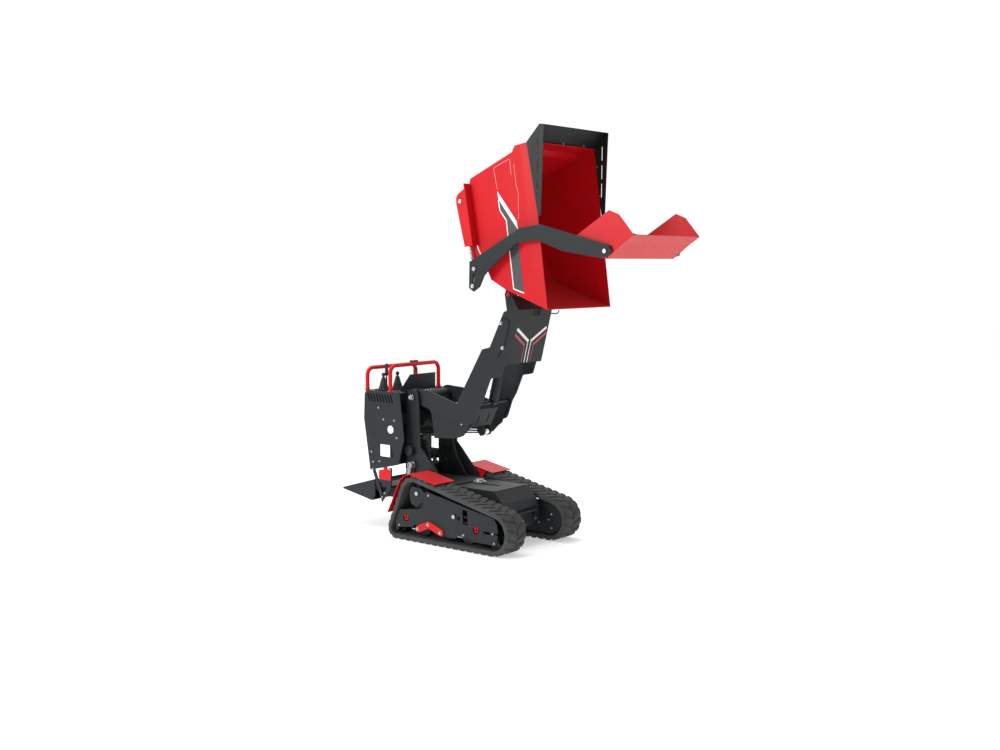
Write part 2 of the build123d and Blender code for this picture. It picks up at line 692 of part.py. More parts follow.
# name, foot, eye, y, barrel length, rod length, barrel radius, rod radius,
# eye radius, eye half width, bore for the foot pin
cylinders = [
    ("lift", lift_foot, lift_eye, 0.0, 360.0, 386.0, 32.0, 17.0, 24.0, 21.0, 15.0),
    ("tip", tip_foot, tip_eye, 0.0, 480.0, 470.0, 34.0, 15.0, 24.0, 21.0, 15.0),
    ("arm_right", in_world(arm_foot), in_world(arm_eye), -arm_cylinder_y, 300.0, 355.0, 18.0,
     10.0, 17.0, 9.0, 12.0),
    ("arm_left", in_world(arm_foot), in_world(arm_eye), arm_cylinder_y, 300.0, 355.0, 18.0,
     10.0, 17.0, 9.0, 12.0),
]
for name, foot, eye, y, barrel_len, rod_len, shell, rod_r, eye_r, eye_half, pin_r in cylinders:
    dx, dz = eye[0] - foot[0], eye[1] - foot[1]
    length = hypot(dx, dz)
    axis_plane = Plane(origin=(foot[0], y, foot[1]), x_dir=(dx, 0, dz), z_dir=(0, -1, 0))
    stroke_axis = Axis((foot[0], y, foot[1]), (dx, 0, dz))
    bore, gland = shell - 5.0, 18.0
    with BuildPart() as barrel:
        with BuildSketch(axis_plane):
            outline([(eye_r - 4, 0), (eye_r - 4, shell), (barrel_len, shell),
                     (barrel_len, rod_r + slide_clearance), (barrel_len - gland,
                     rod_r + slide_clearance), (barrel_len - gland, bore), (eye_r + 6, bore),
                     (eye_r + 6, 0)])
        revolve(axis=stroke_axis)
        with BuildSketch(axis_plane):
            Circle(eye_r)
        extrude(amount=eye_half, both=True)
        with BuildSketch(axis_plane):
            Circle(pin_r + pin_clearance)
        extrude(amount=eye_half + 20, both=True, mode=Mode.SUBTRACT)
    save(barrel, f"{name}_cylinder_barrel")

    with BuildPart() as rod:
        with BuildSketch(axis_plane):
            start = length - rod_len
            outline([(start, 0), (start, bore - slide_clearance), (start + 15, bore -
                     slide_clearance), (start + 15, rod_r), (length - eye_r + 4, rod_r),
                     (length - eye_r + 4, 0)])
        revolve(axis=stroke_axis)
        with BuildSketch(axis_plane):
            with Locations((length, 0)):
                Circle(eye_r)
                Circle(eye_r * 0.5, mode=Mode.SUBTRACT)
        extrude(amount=eye_half, both=True)
    save(rod, f"{name}_cylinder_rod")

# ------------------------------------------------------------------ console
console_inner_y = console_half_width - console_sheet
shoulder = deck_height - 21      # where the console's back turns in
console_side = [(-1095, shoulder), (-1104, 832), (-1043, 447), (-753, 512), (-693, 704),
                (-735, deck_height), (-1080, deck_height)]
louvre_count, louvre_pitch, louvre_z = 9, 29.0, deck_height - 47
for side_name, side in SIDES.items():
    with BuildPart() as console_cheek:
        with BuildSketch(side_plane(side, console_inner_y)):
            outline(console_side)
            with Locations(*[(-1050 + i * louvre_pitch, louvre_z) for i in range(louvre_count)]):
                SlotOverall(66, 12, rotation=110, mode=Mode.SUBTRACT)
            outline([(-939, 561), (-803, 561), (-815, 636), (-840, 651), (-939, 651)],
                    mode=Mode.SUBTRACT)
        extrude(amount=-side * console_sheet)
    save(console_cheek, f"console_side_{side_name}")

with BuildPart() as rear_panel:
    with BuildSketch(Plane.XZ):
        outline([(-1094, shoulder), (-1103, 832), (-1042, 448), (-1037, 449), (-1098, 832),
                 (-1089, shoulder)])
    extrude(amount=console_inner_y - seat_gap, both=True)
save(rear_panel, "console_rear_panel")

with BuildPart() as deck:
    with BuildSketch(Plane.XY.offset(deck_height + seat_gap)):
        with Locations((-910, 0)):
            RectangleRounded(370, 2 * console_half_width, 20)
        with Locations((-725, 0)):
            Rectangle(140, 2 * (boom_half_width + 33), mode=Mode.SUBTRACT)
    extrude(amount=console_sheet)
    # turned-down edge that carries the rear panel
    with BuildSketch(Plane.XY.offset(deck_height + seat_gap)):
        with Locations((-1080, 0)):
            Rectangle(6, 2 * (console_inner_y - seat_gap))
    extrude(amount=-18)
save(deck, "console_deck")

deck_top = deck_height + seat_gap + console_sheet
dash_top = deck_height + 119
lever_top, grip_top = deck_height + 109, deck_height + 191
with BuildPart() as dash:
    with BuildSketch(Plane.YZ.offset(-842)):
        outline([(-170, deck_top + seat_gap), (220, deck_top + seat_gap), (220, dash_top),
                 (-60, dash_top)])
    extrude(amount=console_sheet)
save(dash, "dash_panel")

for name, x, top in (("rear", rear_rail_x, rear_rail_top),
                     ("front", front_rail_x, front_rail_top)):
    with BuildPart() as rail:
        with BuildLine(Plane.YZ.offset(x)) as rail_path:
            FilletPolyline((-rail_half_span, deck_top + seat_gap),
                           (-rail_half_span, top - rail_tube), (rail_half_span, top - rail_tube),
                           (rail_half_span, deck_top + seat_gap), radius=55)
        with BuildSketch(Plane(origin=rail_path.wire() @ 0, z_dir=(0, 0, 1))):
            Circle(rail_tube)
        sweep(path=rail_path.wire())
    save(rail, f"handrail_{name}")

with BuildPart() as levers:
    with BuildSketch(Plane.XY.offset(deck_top + seat_gap)):
        with Locations((-980, -125)):
            RectangleRounded(70, 230, 12)
    extrude(amount=8)
    for x, y, top, knob in ((-980, -200, lever_top, 14), (-980, -50, lever_top, 14),
                            (-980, -167, grip_top, 11)):
        with BuildSketch(Plane.XY.offset(deck_top + seat_gap + 6)):
            with Locations((x, y)):
                Circle(8)
        extrude(amount=top - deck_top - 6)
        with Locations((x, y, top)):
            Sphere(knob)
save(levers, "control_levers")

# one plain block, hung on the plates that carry the lift cylinder
with BuildPart() as engine:
    with Locations((-905 - seat_gap, 0, 480)):
        Box(125, 400, 380, align=(Align.MAX, Align.CENTER, Align.MIN))
save(engine, "engine_block")

with BuildPart() as hydraulic_filter:
    with BuildSketch(side_plane(-1, cheek_y + mast_plate + seat_gap)):
        with Locations((-690, 620)):
            Circle(38)
    extrude(amount=34)
save(hydraulic_filter, "hydraulic_filter")

# ------------------------------------------------------------ foot platform
platform_half_width = console_half_width - 15
with BuildPart() as platform:
    for side in SIDES.values():
        with BuildSketch(side_plane(side, platform_half_width - 8)):
            outline([(-1014, 377), (platform_tip_x, 279), (platform_tip_x, 268), (-1046, 212),
                     (-1010, 260)])
        extrude(amount=-side * 8)
        with BuildSketch(side_plane(side, 100)):
            outline([(-1030, 285), (-1036, 316), (-1078, 354), (-1320, 284), (-1200, 243),
                     (-1046, 214)])
        extrude(amount=-side * 8)
    with BuildSketch(Plane.XZ):
        outline([(-1078, 358.6), (platform_tip_x, 279), (platform_tip_x, 268), (-1078, 353)])
    extrude(amount=platform_half_width, both=True)
    with BuildSketch(Plane.XZ):
        outline([(-1046, 212), (-1200, 242), (-1201, 247), (-1046, 217)])
    extrude(amount=platform_half_width, both=True)
    with BuildSketch(Plane.XZ):
        with Locations(platform_hinge):
            Circle(17)
    extrude(amount=rear_box_half_width - 13, both=True)
    with BuildSketch(Plane.XZ):
        with Locations(platform_hinge):
            Circle(10 + pin_clearance)
    extrude(amount=170, both=True, mode=Mode.SUBTRACT)
save(platform, "foot_platform")
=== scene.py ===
# %% [markdown]
# # A tracked site dumper with a high-tip boom
#
# The machine's steel plates, tubes, pins and cylinders come from the packed
# frame, already in place.  This lesson dresses them: it gives every plate its
# paint, moulds the chevron lugs of the rubber tracks, bolts the plates
# together, and adds the decals, levers and fittings that a driver would
# touch.  Everything is in metres, with X forward, Y to the left and Z up.

# %% Load the frame
import bpy
import json
from math import atan2, acos, cos, hypot, pi, radians, sin
from mathutils import Matrix, Vector

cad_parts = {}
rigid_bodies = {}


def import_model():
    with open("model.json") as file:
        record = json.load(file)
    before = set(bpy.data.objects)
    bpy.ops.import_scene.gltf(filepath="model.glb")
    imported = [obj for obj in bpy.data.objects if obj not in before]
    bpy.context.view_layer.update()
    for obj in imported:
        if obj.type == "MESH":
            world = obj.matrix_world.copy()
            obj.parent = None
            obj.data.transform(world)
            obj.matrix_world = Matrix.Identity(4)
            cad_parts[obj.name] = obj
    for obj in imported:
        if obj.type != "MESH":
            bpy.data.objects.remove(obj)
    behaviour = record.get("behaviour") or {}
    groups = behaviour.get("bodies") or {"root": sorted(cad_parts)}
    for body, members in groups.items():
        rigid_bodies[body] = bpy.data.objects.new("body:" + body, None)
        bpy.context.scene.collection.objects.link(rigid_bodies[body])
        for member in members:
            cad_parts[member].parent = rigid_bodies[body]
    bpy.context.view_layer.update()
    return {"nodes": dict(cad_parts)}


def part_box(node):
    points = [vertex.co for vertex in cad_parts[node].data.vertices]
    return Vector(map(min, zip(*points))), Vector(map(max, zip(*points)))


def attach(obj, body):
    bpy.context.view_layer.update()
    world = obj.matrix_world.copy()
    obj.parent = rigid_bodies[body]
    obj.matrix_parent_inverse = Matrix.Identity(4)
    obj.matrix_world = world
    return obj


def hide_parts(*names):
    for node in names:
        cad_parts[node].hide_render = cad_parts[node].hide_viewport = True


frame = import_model()
sides = (("right", -1), ("left", 1))           # a side's name and its sign along Y

# %% [markdown]
# ## Colours and nodes
#
# Paint makers give colours as hex values, which are written for screens.
# Blender's shaders add up light, so one function turns each hex value into
# linear numbers.  A second one adds a node with its settings and links, so a
# material below reads as a short list of what its surface does.  Every
# material starts empty and ends with a bump and a shader, so those two steps
# are written once.

# %% Helpers for materials


def linear(hex_code):
    """A linear RGBA colour from an sRGB hex value."""
    parts = [int(hex_code[i:i + 2], 16) / 255 for i in (0, 2, 4)]
    return [p / 12.92 if p <= 0.04045 else ((p + 0.055) / 1.055) ** 2.4 for p in parts] + [1.0]


def put(tree, kind, settings=(), values=(), links=()):
    """Add a node: settings are its own fields, values its sockets, links its inputs."""
    node = tree.nodes.new(kind)
    for field, value in dict(settings).items():
        setattr(node, field, value)
    for socket, value in dict(values).items():
        node.inputs[socket].default_value = value
    for socket, source in dict(links).items():
        tree.links.new(source, node.inputs[socket])
    return node


def start_material(name):
    """An empty node material with its node tree, ready for a surface."""
    material = bpy.data.materials.new(name)
    material.use_nodes = True
    material.node_tree.nodes.clear()
    return material, material.node_tree


def end_surface(tree, values, links, height=None, strength=0.0, depth=0.0):
    """Add what every surface ends with: a bump from a height, the shader and the output."""
    if height is not None:
        bump = put(tree, "ShaderNodeBump", values={"Strength": strength, "Distance": depth},
                   links={"Height": height})
        links = {**links, "Normal": bump.outputs["Normal"]}
    shader = put(tree, "ShaderNodeBsdfPrincipled", values=values, links=links)
    put(tree, "ShaderNodeOutputMaterial", links={"Surface": shader.outputs[0]})


print("dark plate in linear light:", [round(v, 4) for v in linear("3A3E40")])

# %% [markdown]
# ## Powder-coated steel
#
# The bodywork is mild steel sheet, sprayed with a dry polyester powder and
# baked.  The powder melts into a thick skin with a faint orange peel, about
# 2 mm from crest to crest, under a soft gloss.  A noise at that size drives a
# small bump, drawn at 3 mm so that it shows.  A second, ten times as large,
# moves the roughness a little, as hands and rain do, and breaks up the dust.
# A third fades the paint in wide clouds.  Two pieces wear two paints: the red
# link has black rollers, and the dark rear frame a red bracket.  Each is one
# node of the frame, so its second paint is picked by place, inside a box.

# %% How a powder coat looks
peel_mm, cloud_mm, scuff_mm = 3.0, 220, 35
dust_amount = 0.10
red_paint = ("C9141D", "C1121B", "C9A79B")               # fresh, worn, and its dust
charcoal_paint = ("23282A", "1F2426", "8A8882")


def within(tree, place, low, high):
    """1 inside a box from low to high, else 0."""
    parts = put(tree, "ShaderNodeSeparateXYZ", links={0: place})
    inside = None
    for value, lowest, highest in zip(parts.outputs, low, high):
        for operation, limit in (("GREATER_THAN", lowest), ("LESS_THAN", highest)):
            test = put(tree, "ShaderNodeMath", {"operation": operation}, {1: limit},
                       {0: value}).outputs[0]
            inside = test if inside is None else put(
                tree, "ShaderNodeMath", {"operation": "MULTIPLY"},
                links={0: inside, 1: test}).outputs[0]
    return inside


def powder_coat(name, paint, roughness, other=None):
    """Baked polyester powder over sheet steel, with a little site dust.

    other is a second paint as (hex, low, high), for what lies in that box.
    """
    material, tree = start_material(name)
    fresh, worn, dust = (linear(code) for code in paint)
    place = put(tree, "ShaderNodeTexCoord").outputs["Object"]
    peel, cloud, scuff = (
        put(tree, "ShaderNodeTexNoise", links={"Vector": place},
            values={"Scale": 1000 / size_mm, "Detail": detail, "Roughness": contrast})
        for size_mm, detail, contrast in ((peel_mm, 2.0, 0.5), (cloud_mm, 4.0, 0.6),
                                          (scuff_mm, 6.0, 0.7)))
    tone = put(tree, "ShaderNodeMapRange", values={"From Min": 0.35, "From Max": 0.7},
               links={"Value": cloud.outputs["Fac"]})
    coat = put(tree, "ShaderNodeMix", {"data_type": "RGBA"}, {6: fresh, 7: worn},
               {"Factor": tone.outputs["Result"]})
    if other:
        coat = put(tree, "ShaderNodeMix", {"data_type": "RGBA"}, {7: linear(other[0])},
                   {"Factor": within(tree, place, *other[1:]), 6: coat.outputs[2]})
    # dust settles on faces that look up
    normal = put(tree, "ShaderNodeSeparateXYZ",
                 links={0: put(tree, "ShaderNodeNewGeometry").outputs["Normal"]})
    up = put(tree, "ShaderNodeMapRange", values={"From Min": 0.55, "To Max": dust_amount},
             links={"Value": normal.outputs["Z"]})
    patch = put(tree, "ShaderNodeMath", {"operation": "MULTIPLY"},
                links={0: up.outputs["Result"], 1: scuff.outputs["Fac"]})
    dusty = put(tree, "ShaderNodeMix", {"data_type": "RGBA"}, {7: dust},
                {"Factor": patch.outputs[0], 6: coat.outputs[2]})
    rough = put(tree, "ShaderNodeMapRange", links={"Value": scuff.outputs["Fac"]},
                values={"From Min": 0.3, "From Max": 0.7, "To Min": roughness - 0.05,
                        "To Max": roughness + 0.08})
    end_surface(tree, {"IOR": 1.5, "Specular IOR Level": 0.2, "Coat Weight": 0.03,
                       "Coat Roughness": 0.25},
                {"Base Color": dusty.outputs[2], "Roughness": rough.outputs["Result"]},
                peel.outputs["Fac"], 0.12, 0.0004)
    return material


print("orange peel every", peel_mm, "mm")

# %% Four coats for the plates
red_powder = powder_coat("Red gloss powder coat on sheet steel", red_paint, 0.36)
charcoal_powder = powder_coat("Charcoal satin powder coat on plate", charcoal_paint, 0.44)
link_powder = powder_coat("Red link with black rollers", red_paint, 0.40,
                          ("17191A", (-2, -0.4095, -1), (2, 0.4095, 2)))
frame_powder = powder_coat("Charcoal frame with a red bracket", charcoal_paint, 0.44,
                           ("C8141D", (-0.970, -0.290, 0.385), (-0.825, -0.262, 0.520)))
print("powder coats:", red_powder.name, "/", charcoal_powder.name)

# %% [markdown]
# ## Bare and plated metal
#
# Bolts are zinc plated: a thin grey film with a soft, mottled shine.  Rods
# are hard chrome, ground along their length to a mirror.  Pins and wheels are
# turned steel, blackened against rust, and the fittings and the engine are
# castings with a matt skin.  A metal's colour is its reflection, so metallic
# is full and the roughness does the work.

# %% Make the metals


def metal(name, hex_code, rough_low, rough_high, grain_mm, stretch=(1.0, 1.0, 1.0), bump_mm=0.05):
    """A bare or plated metal whose roughness follows a grain of a real size."""
    material, tree = start_material(name)
    place = put(tree, "ShaderNodeTexCoord").outputs["Object"]
    turned = put(tree, "ShaderNodeMapping", values={"Scale": stretch}, links={"Vector": place})
    grain = put(tree, "ShaderNodeTexNoise", values={"Scale": 1000 / grain_mm, "Detail": 3.0},
                links={"Vector": turned.outputs[0]})
    rough = put(tree, "ShaderNodeMapRange", values={"From Min": 0.3, "From Max": 0.7,
                                                    "To Min": rough_low, "To Max": rough_high},
                links={"Value": grain.outputs["Fac"]})
    tint = put(tree, "ShaderNodeMapRange", values={"From Min": 0.2, "From Max": 0.8,
                                                   "To Min": 0.9, "To Max": 1.0},
               links={"Value": grain.outputs["Fac"]})
    colour = put(tree, "ShaderNodeVectorMath", {"operation": "SCALE"},
                 {0: linear(hex_code)[:3]}, {"Scale": tint.outputs["Result"]})
    end_surface(tree, {"Metallic": 1.0},
                {"Base Color": colour.outputs[0], "Roughness": rough.outputs["Result"]},
                grain.outputs["Fac"], 0.15, bump_mm / 1000)
    return material


zinc_plate = metal("Zinc plated steel", "B4B7B9", 0.30, 0.45, 6.0)
hard_chrome = metal("Hard chrome, ground", "E9EAEB", 0.08, 0.16, 2.5, (1.0, 1.0, 0.05))
turned_steel = metal("Blackened turned steel", "3A3D3F", 0.35, 0.55, 4.0, (1.0, 6.0, 1.0))
cast_aluminium = metal("Cast aluminium", "9FA2A4", 0.4, 0.55, 3.0, bump_mm=0.2)
cast_dark = metal("Cast iron, heat blackened", "33363A", 0.5, 0.7, 3.0, bump_mm=0.3)
print("metals:", zinc_plate.name, hard_chrome.name, turned_steel.name, cast_aluminium.name)

# %% [markdown]
# ## Rubber, plastic and film
# Track rubber is carbon-black filled and moulded in a steel tool.  It is a
# soft dark grey, never black, because its skin scatters light and picks up
# fine dust.  The knobs and gaiters are the same kind of surface, smoother,
# and so is the vinyl film that the stripes are cut from.  The shade in the
# depth of a slot is painted on a film too, nearly black, because no light
# comes back out of it.

# %% Make the rubbers, the plastic and the films


def moulded(name, hex_dark, hex_pale, roughness, grain_mm, bump_mm):
    """Moulded rubber or plastic with a fine grain and a dusty bloom."""
    material, tree = start_material(name)
    place = put(tree, "ShaderNodeTexCoord").outputs["Object"]
    grain = put(tree, "ShaderNodeTexNoise", values={"Scale": 1000 / grain_mm, "Detail": 4.0},
                links={"Vector": place})
    bloom = put(tree, "ShaderNodeTexNoise", values={"Scale": 1000 / 90, "Detail": 5.0,
                                                    "Roughness": 0.65}, links={"Vector": place})
    amount = put(tree, "ShaderNodeMapRange", values={"From Min": 0.35, "From Max": 0.75},
                 links={"Value": bloom.outputs["Fac"]})
    colour = put(tree, "ShaderNodeMix", {"data_type": "RGBA"},
                 {6: linear(hex_dark), 7: linear(hex_pale)},
                 {"Factor": amount.outputs["Result"]})
    end_surface(tree, {"Roughness": roughness, "IOR": 1.5}, {"Base Color": colour.outputs[2]},
                grain.outputs["Fac"], 0.3, bump_mm / 1000)
    return material


track_rubber = moulded("Carbon filled track rubber", "343537", "424344", 0.8, 4.0, 0.4)
knob_plastic = moulded("Black moulded knob plastic", "1B1C1D", "222324", 0.45, 2.0, 0.08)
gaiter_rubber = moulded("Soft gaiter rubber", "202122", "2B2C2D", 0.7, 3.0, 0.2)
decal_white = moulded("White vinyl decal film", "EDEDED", "E6E6E6", 0.42, 3.0, 0.03)
decal_grey = moulded("Charcoal vinyl decal film", "3A3D3F", "404345", 0.42, 3.0, 0.03)
decal_pale = moulded("Pale pink vinyl edge line", "F0A5AA", "EC9CA2", 0.42, 3.0, 0.03)
decal_red = moulded("Brick red vinyl decal film", "A8404A", "A23A44", 0.42, 3.0, 0.03)
# painted shade: a nearly black film stands for the dark inside a slot, where no light reaches
painted_slot_shade = moulded("Unlit depth of a slot", "050505", "080808", 0.9, 3.0, 0.01)
print("moulded:", track_rubber.name, knob_plastic.name, gaiter_rubber.name)

# %% [markdown]
# ## Paint the frame's own pieces
#
# The pieces from the frame already have the right shape.  Their one material
# slot is swapped for the finish that the real piece has, by name.

# %% Dress the frame's nodes
finishes = [
    (link_powder, ["bogie_"]),
    (frame_powder, ["rear_frame"]),
    (red_powder, ["skip_tub", "shovel_scoop", "fender_", "cylinder_channel_", "skip_carrier",
                  "handrail_"]),
    (charcoal_powder, ["boom_plate_", "boom_head", "boom_knee", "boom_hinge_tube", "mast_frame",
                       "chassis_", "console_", "dash_panel", "shovel_arm_", "arm_cross_tube",
                       "skip_hood", "track_frame_", "foot_platform", "_cylinder_barrel",
                       "hydraulic_filter"]),
    (hard_chrome, ["_cylinder_rod"]),
    (turned_steel, ["drive_sprocket_", "front_idler_", "front_roller_", "tail_roller_",
                    "boom_pin", "_cylinder_pin"]),
    (cast_aluminium, ["engine_block"]),
    (track_rubber, ["track_belt_"]),
    (knob_plastic, ["control_levers"]),
]
for name, node in frame["nodes"].items():
    for finish, stems in finishes:
        if any(stem in name for stem in stems):
            node.data.materials.clear()
            node.data.materials.append(finish)
            break
    else:
        print("no finish for", name)
print("dressed", len(frame["nodes"]), "nodes")

# %% [markdown]
# ## How a new piece is finished
#
# Every piece below is modelled at its own place with ordinary tools.  Three
# things then happen to all of them, so they are written once: the place is
# moved into the mesh, the faces are turned outwards and shaded smooth up to
# an angle, and the piece is told its finish and its moving body.

# %% Helpers that start and shape a piece


def only(piece):
    """Make one object the selected and active one."""
    bpy.ops.object.select_all(action="DESELECT")
    piece.select_set(True)
    bpy.context.view_layer.objects.active = piece
    return piece


def begin(primitive_add, **settings):
    """Add a primitive with nothing else selected, at the origin unless it is told a place."""
    bpy.ops.object.select_all(action="DESELECT")
    primitive_add(**{"location": (0, 0, 0), **settings})
    return bpy.context.object


def pick_faces(piece, test, kind="VERT"):
    """Enter edit mode with only the faces selected that pass a test."""
    bpy.ops.object.mode_set(mode="EDIT")
    bpy.ops.mesh.select_mode(type=kind)
    bpy.ops.mesh.select_all(action="DESELECT")
    bpy.ops.object.mode_set(mode="OBJECT")
    for face in piece.data.polygons:
        face.select = test(face)
    bpy.ops.object.mode_set(mode="EDIT")


def outwards(piece):
    """Merge doubles and turn every face outwards."""
    only(piece)
    bpy.ops.object.mode_set(mode="EDIT")
    bpy.ops.mesh.select_all(action="SELECT")
    bpy.ops.mesh.remove_doubles(threshold=0.00001)
    bpy.ops.mesh.normals_make_consistent(inside=False)
    bpy.ops.object.mode_set(mode="OBJECT")


def face_to(sheet, outward):
    """Flip a sheet whose first face looks away from outward."""
    sheet.data.update()
    if sheet.data.polygons[0].normal.dot(outward) < 0:
        only(sheet)
        bpy.ops.object.mode_set(mode="EDIT")
        bpy.ops.mesh.select_all(action="SELECT")
        bpy.ops.mesh.flip_normals()
        bpy.ops.object.mode_set(mode="OBJECT")


def modify(piece, kind, **settings):
    """Add one modifier with its settings and apply it."""
    only(piece)
    modifier = piece.modifiers.new(kind.lower(), kind)
    for field, value in settings.items():
        setattr(modifier, field, value)
    bpy.ops.object.modifier_apply(modifier=modifier.name)


def bevel(piece, width, segments=2, sharp=40):
    """Round the edges that are sharper than an angle in degrees."""
    modify(piece, "BEVEL", width=width, segments=segments, limit_method="ANGLE",
           angle_limit=radians(sharp))


# %% Helpers that copy and finish a piece


def join(first, *others):
    """Join other pieces into the first."""
    only(first)
    for other in others:
        other.select_set(True)
    bpy.ops.object.join()
    return first


def copies(template, places):
    """Join copies of a template, one at each matrix, each with its own mesh."""
    made = []
    for place in places:
        twin = template.copy()
        twin.data = template.data.copy()
        bpy.context.collection.objects.link(twin)
        twin.matrix_world = place @ template.matrix_world
        made.append(twin)
    return join(*made)


def drop(*templates):
    """Delete templates once their copies are made."""
    for template in templates:
        only(template)
        bpy.ops.object.delete()


def settle(piece, name, finish, body, smooth=30):
    """Name a finished piece, put its place in its mesh and let it ride."""
    only(piece)
    bpy.ops.object.transform_apply(location=True, rotation=True, scale=True)
    outwards(piece)
    bpy.ops.object.shade_smooth_by_angle(angle=radians(smooth))
    piece.name = piece.data.name = name
    piece.data.materials.clear()
    piece.data.materials.append(finish)
    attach(piece, body)
    return piece


def wheel_of(node):
    """Centre (x, z) and radius of a wheel, from its node's box."""
    low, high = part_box(node)
    return (low[0] + high[0]) / 2, (low[2] + high[2]) / 2, (high[2] - low[2]) / 2


print("front idler:", [round(v, 4) for v in wheel_of("front_idler_right")])

# %% [markdown]
# ## Rubber tracks
#
# A rubber track is one endless band with lugs moulded on it.  The lugs lean,
# left ones against right ones and half a pitch apart, so that some rubber is
# always on the ground and clay is pushed out sideways.  The line of the band
# follows from the three wheels inside it: an arc round each wheel and a
# straight run to the next.  The band starts as an open cylinder with many
# sides, and each of its corners is moved to its share of that line.

# %% The line that the band follows
seat = 0.0003                                  # wheel rim to band
tread_depth = wheel_of("tail_roller_right")[1] - wheel_of("tail_roller_right")[2] - seat
lug_height = 0.0085
band_thickness = tread_depth - lug_height
lug_count = 42                                 # in each of the two rows


def belt_line(side, lift):
    """Arcs and runs of the band, lifted off the wheel rims, as (x, z) pieces."""
    wheels = [wheel_of(f"{stem}_{side}") for stem in ("tail_roller", "front_idler",
                                                      "drive_sprocket")]
    normals = []
    for (x1, z1, r1), (x2, z2, r2) in zip(wheels, wheels[1:] + wheels[:1]):
        normals.append(atan2(z2 - z1, x2 - x1) - acos((r1 - r2) / hypot(x2 - x1, z2 - z1)))
    pieces = []
    for i, (x, z, r) in enumerate(wheels):
        first, last = normals[i - 1], normals[i]
        while last < first:
            last += 2 * pi
        after = wheels[(i + 1) % 3]
        radius = r + seat + lift
        leave = Vector((x + radius * cos(last), z + radius * sin(last)))
        radius_after = after[2] + seat + lift
        meet = Vector((after[0] + radius_after * cos(last), after[1] + radius_after * sin(last)))
        pieces.append(("arc", (last - first) * radius, (x, z, radius, first)))
        pieces.append(("run", (meet - leave).length, (leave, meet, last)))
    return pieces


def on_belt(pieces, share):
    """Point (x, z) and outward angle at a share of the band's length."""
    left = share % 1.0 * sum(length for _, length, _ in pieces)
    for kind, length, data in pieces:
        if left <= length or (kind, data) == (pieces[-1][0], pieces[-1][2]):
            if kind == "arc":
                x, z, radius, first = data
                angle = first + left / radius
                return x + radius * cos(angle), z + radius * sin(angle), angle
            leave, meet, angle = data
            point = leave.lerp(meet, left / length)
            return point.x, point.y, angle
        left -= length


line = belt_line("right", 0)
print("band length at the wheels:", round(sum(length for _, length, _ in line), 3), "m")

# %% Band and lugs of each side
belt_low, belt_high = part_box("track_belt_left")
belt_y, belt_width = (belt_low[1] + belt_high[1]) / 2, belt_high[1] - belt_low[1]
row_width = belt_width / 2
band_sides = 168
lug_root, lug_crown, lug_lean = 0.050, 0.036, 0.034      # lengths along the band
lug_sink, lug_gap = 0.004, 0.004                         # into the band, between the rows
for side, sign in sides:
    inner_line = belt_line(side, 0.0)
    band = begin(bpy.ops.mesh.primitive_cylinder_add, vertices=band_sides, radius=1,
                 depth=belt_width, end_fill_type="NOTHING", rotation=(radians(90), 0, 0))
    bpy.ops.object.transform_apply(location=True, rotation=True)
    for corner in band.data.vertices:
        share = atan2(corner.co.z, corner.co.x) / (2 * pi) % 1.0
        x, z, _ = on_belt(inner_line, share)
        corner.co = (x, corner.co.y + sign * belt_y, z)
    outwards(band)
    modify(band, "SOLIDIFY", thickness=band_thickness, offset=1.0)
    bevel(band, 0.005, sharp=60)

    # one leaning lug, drawn on the ground plane: length along X, width along Y
    lug = begin(bpy.ops.mesh.primitive_cube_add, size=1)
    for corner in lug.data.vertices:
        out, across, along = corner.co.z > 0, corner.co.y, corner.co.x
        length, width = lug_root, row_width - lug_gap
        if out:
            length, width = lug_crown, width - 0.008
        corner.co = (along * length + lug_lean * (across + 0.5), across * width,
                     lug_height if out else -lug_sink)
    bevel(lug, 0.0035)
    # each copy is bent to the line: X runs back along it, Z away from it
    tread_line = belt_line(side, band_thickness)
    around = sum(length for _, length, _ in tread_line)
    tread = copies(lug, [Matrix.Identity(4)] * (2 * lug_count))
    corners_each = len(lug.data.vertices)
    for i, corner in enumerate(tread.data.vertices):
        number, (along, across, up) = i // corners_each, corner.co
        row_y, mirror = ((-row_width / 2, 1), (row_width / 2, -1))[number % 2]
        x, z, angle = on_belt(tread_line, number / (2 * lug_count) - along / around)
        corner.co = (x + up * cos(angle), sign * belt_y + row_y + mirror * across,
                     z + up * sin(angle))
    drop(lug)
    track = settle(join(band, tread), f"rubber_track_{side}", track_rubber, "machine")
    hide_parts(f"track_belt_{side}")
    print(track.name, len(track.data.polygons), "faces")

# %% [markdown]
# ## Bolts
#
# The plates are held by flanged hexagon bolts, zinc plated.  A six-sided
# cylinder makes the head; its crown is inset and pushed in a little, as the
# forging die leaves it, and a second cylinder makes the flange below.  Pins
# end in a turned cap with a shallow dish.

# %% A flanged bolt, and a round cap


def looks_up(face):
    """Whether a face looks straight up."""
    return face.normal.z > 0.9


def hex_bolt(across):
    """A bolt head standing on the ground plane, `across` wide over its flats."""
    height = across * 0.55
    # a hexagon's corners lie on a circle whose radius is its width over the root of 3
    head = begin(bpy.ops.mesh.primitive_cylinder_add, vertices=6, radius=across / 1.732,
                 depth=height, location=(0, 0, height / 2 + across * 0.1))
    pick_faces(head, looks_up)
    bpy.ops.mesh.inset(thickness=across * 0.1, depth=across * 0.04)
    bpy.ops.mesh.inset(thickness=across * 0.14, depth=-across * 0.05)
    bpy.ops.mesh.select_all(action="DESELECT")
    bpy.ops.mesh.primitive_cylinder_add(vertices=20, radius=across * 0.72, depth=across * 0.14,
                                        location=(0, 0, across * 0.07))
    bpy.ops.object.mode_set(mode="OBJECT")
    bpy.ops.object.transform_apply(location=True, rotation=True)
    bevel(head, across * 0.02, 1, 50)
    return head


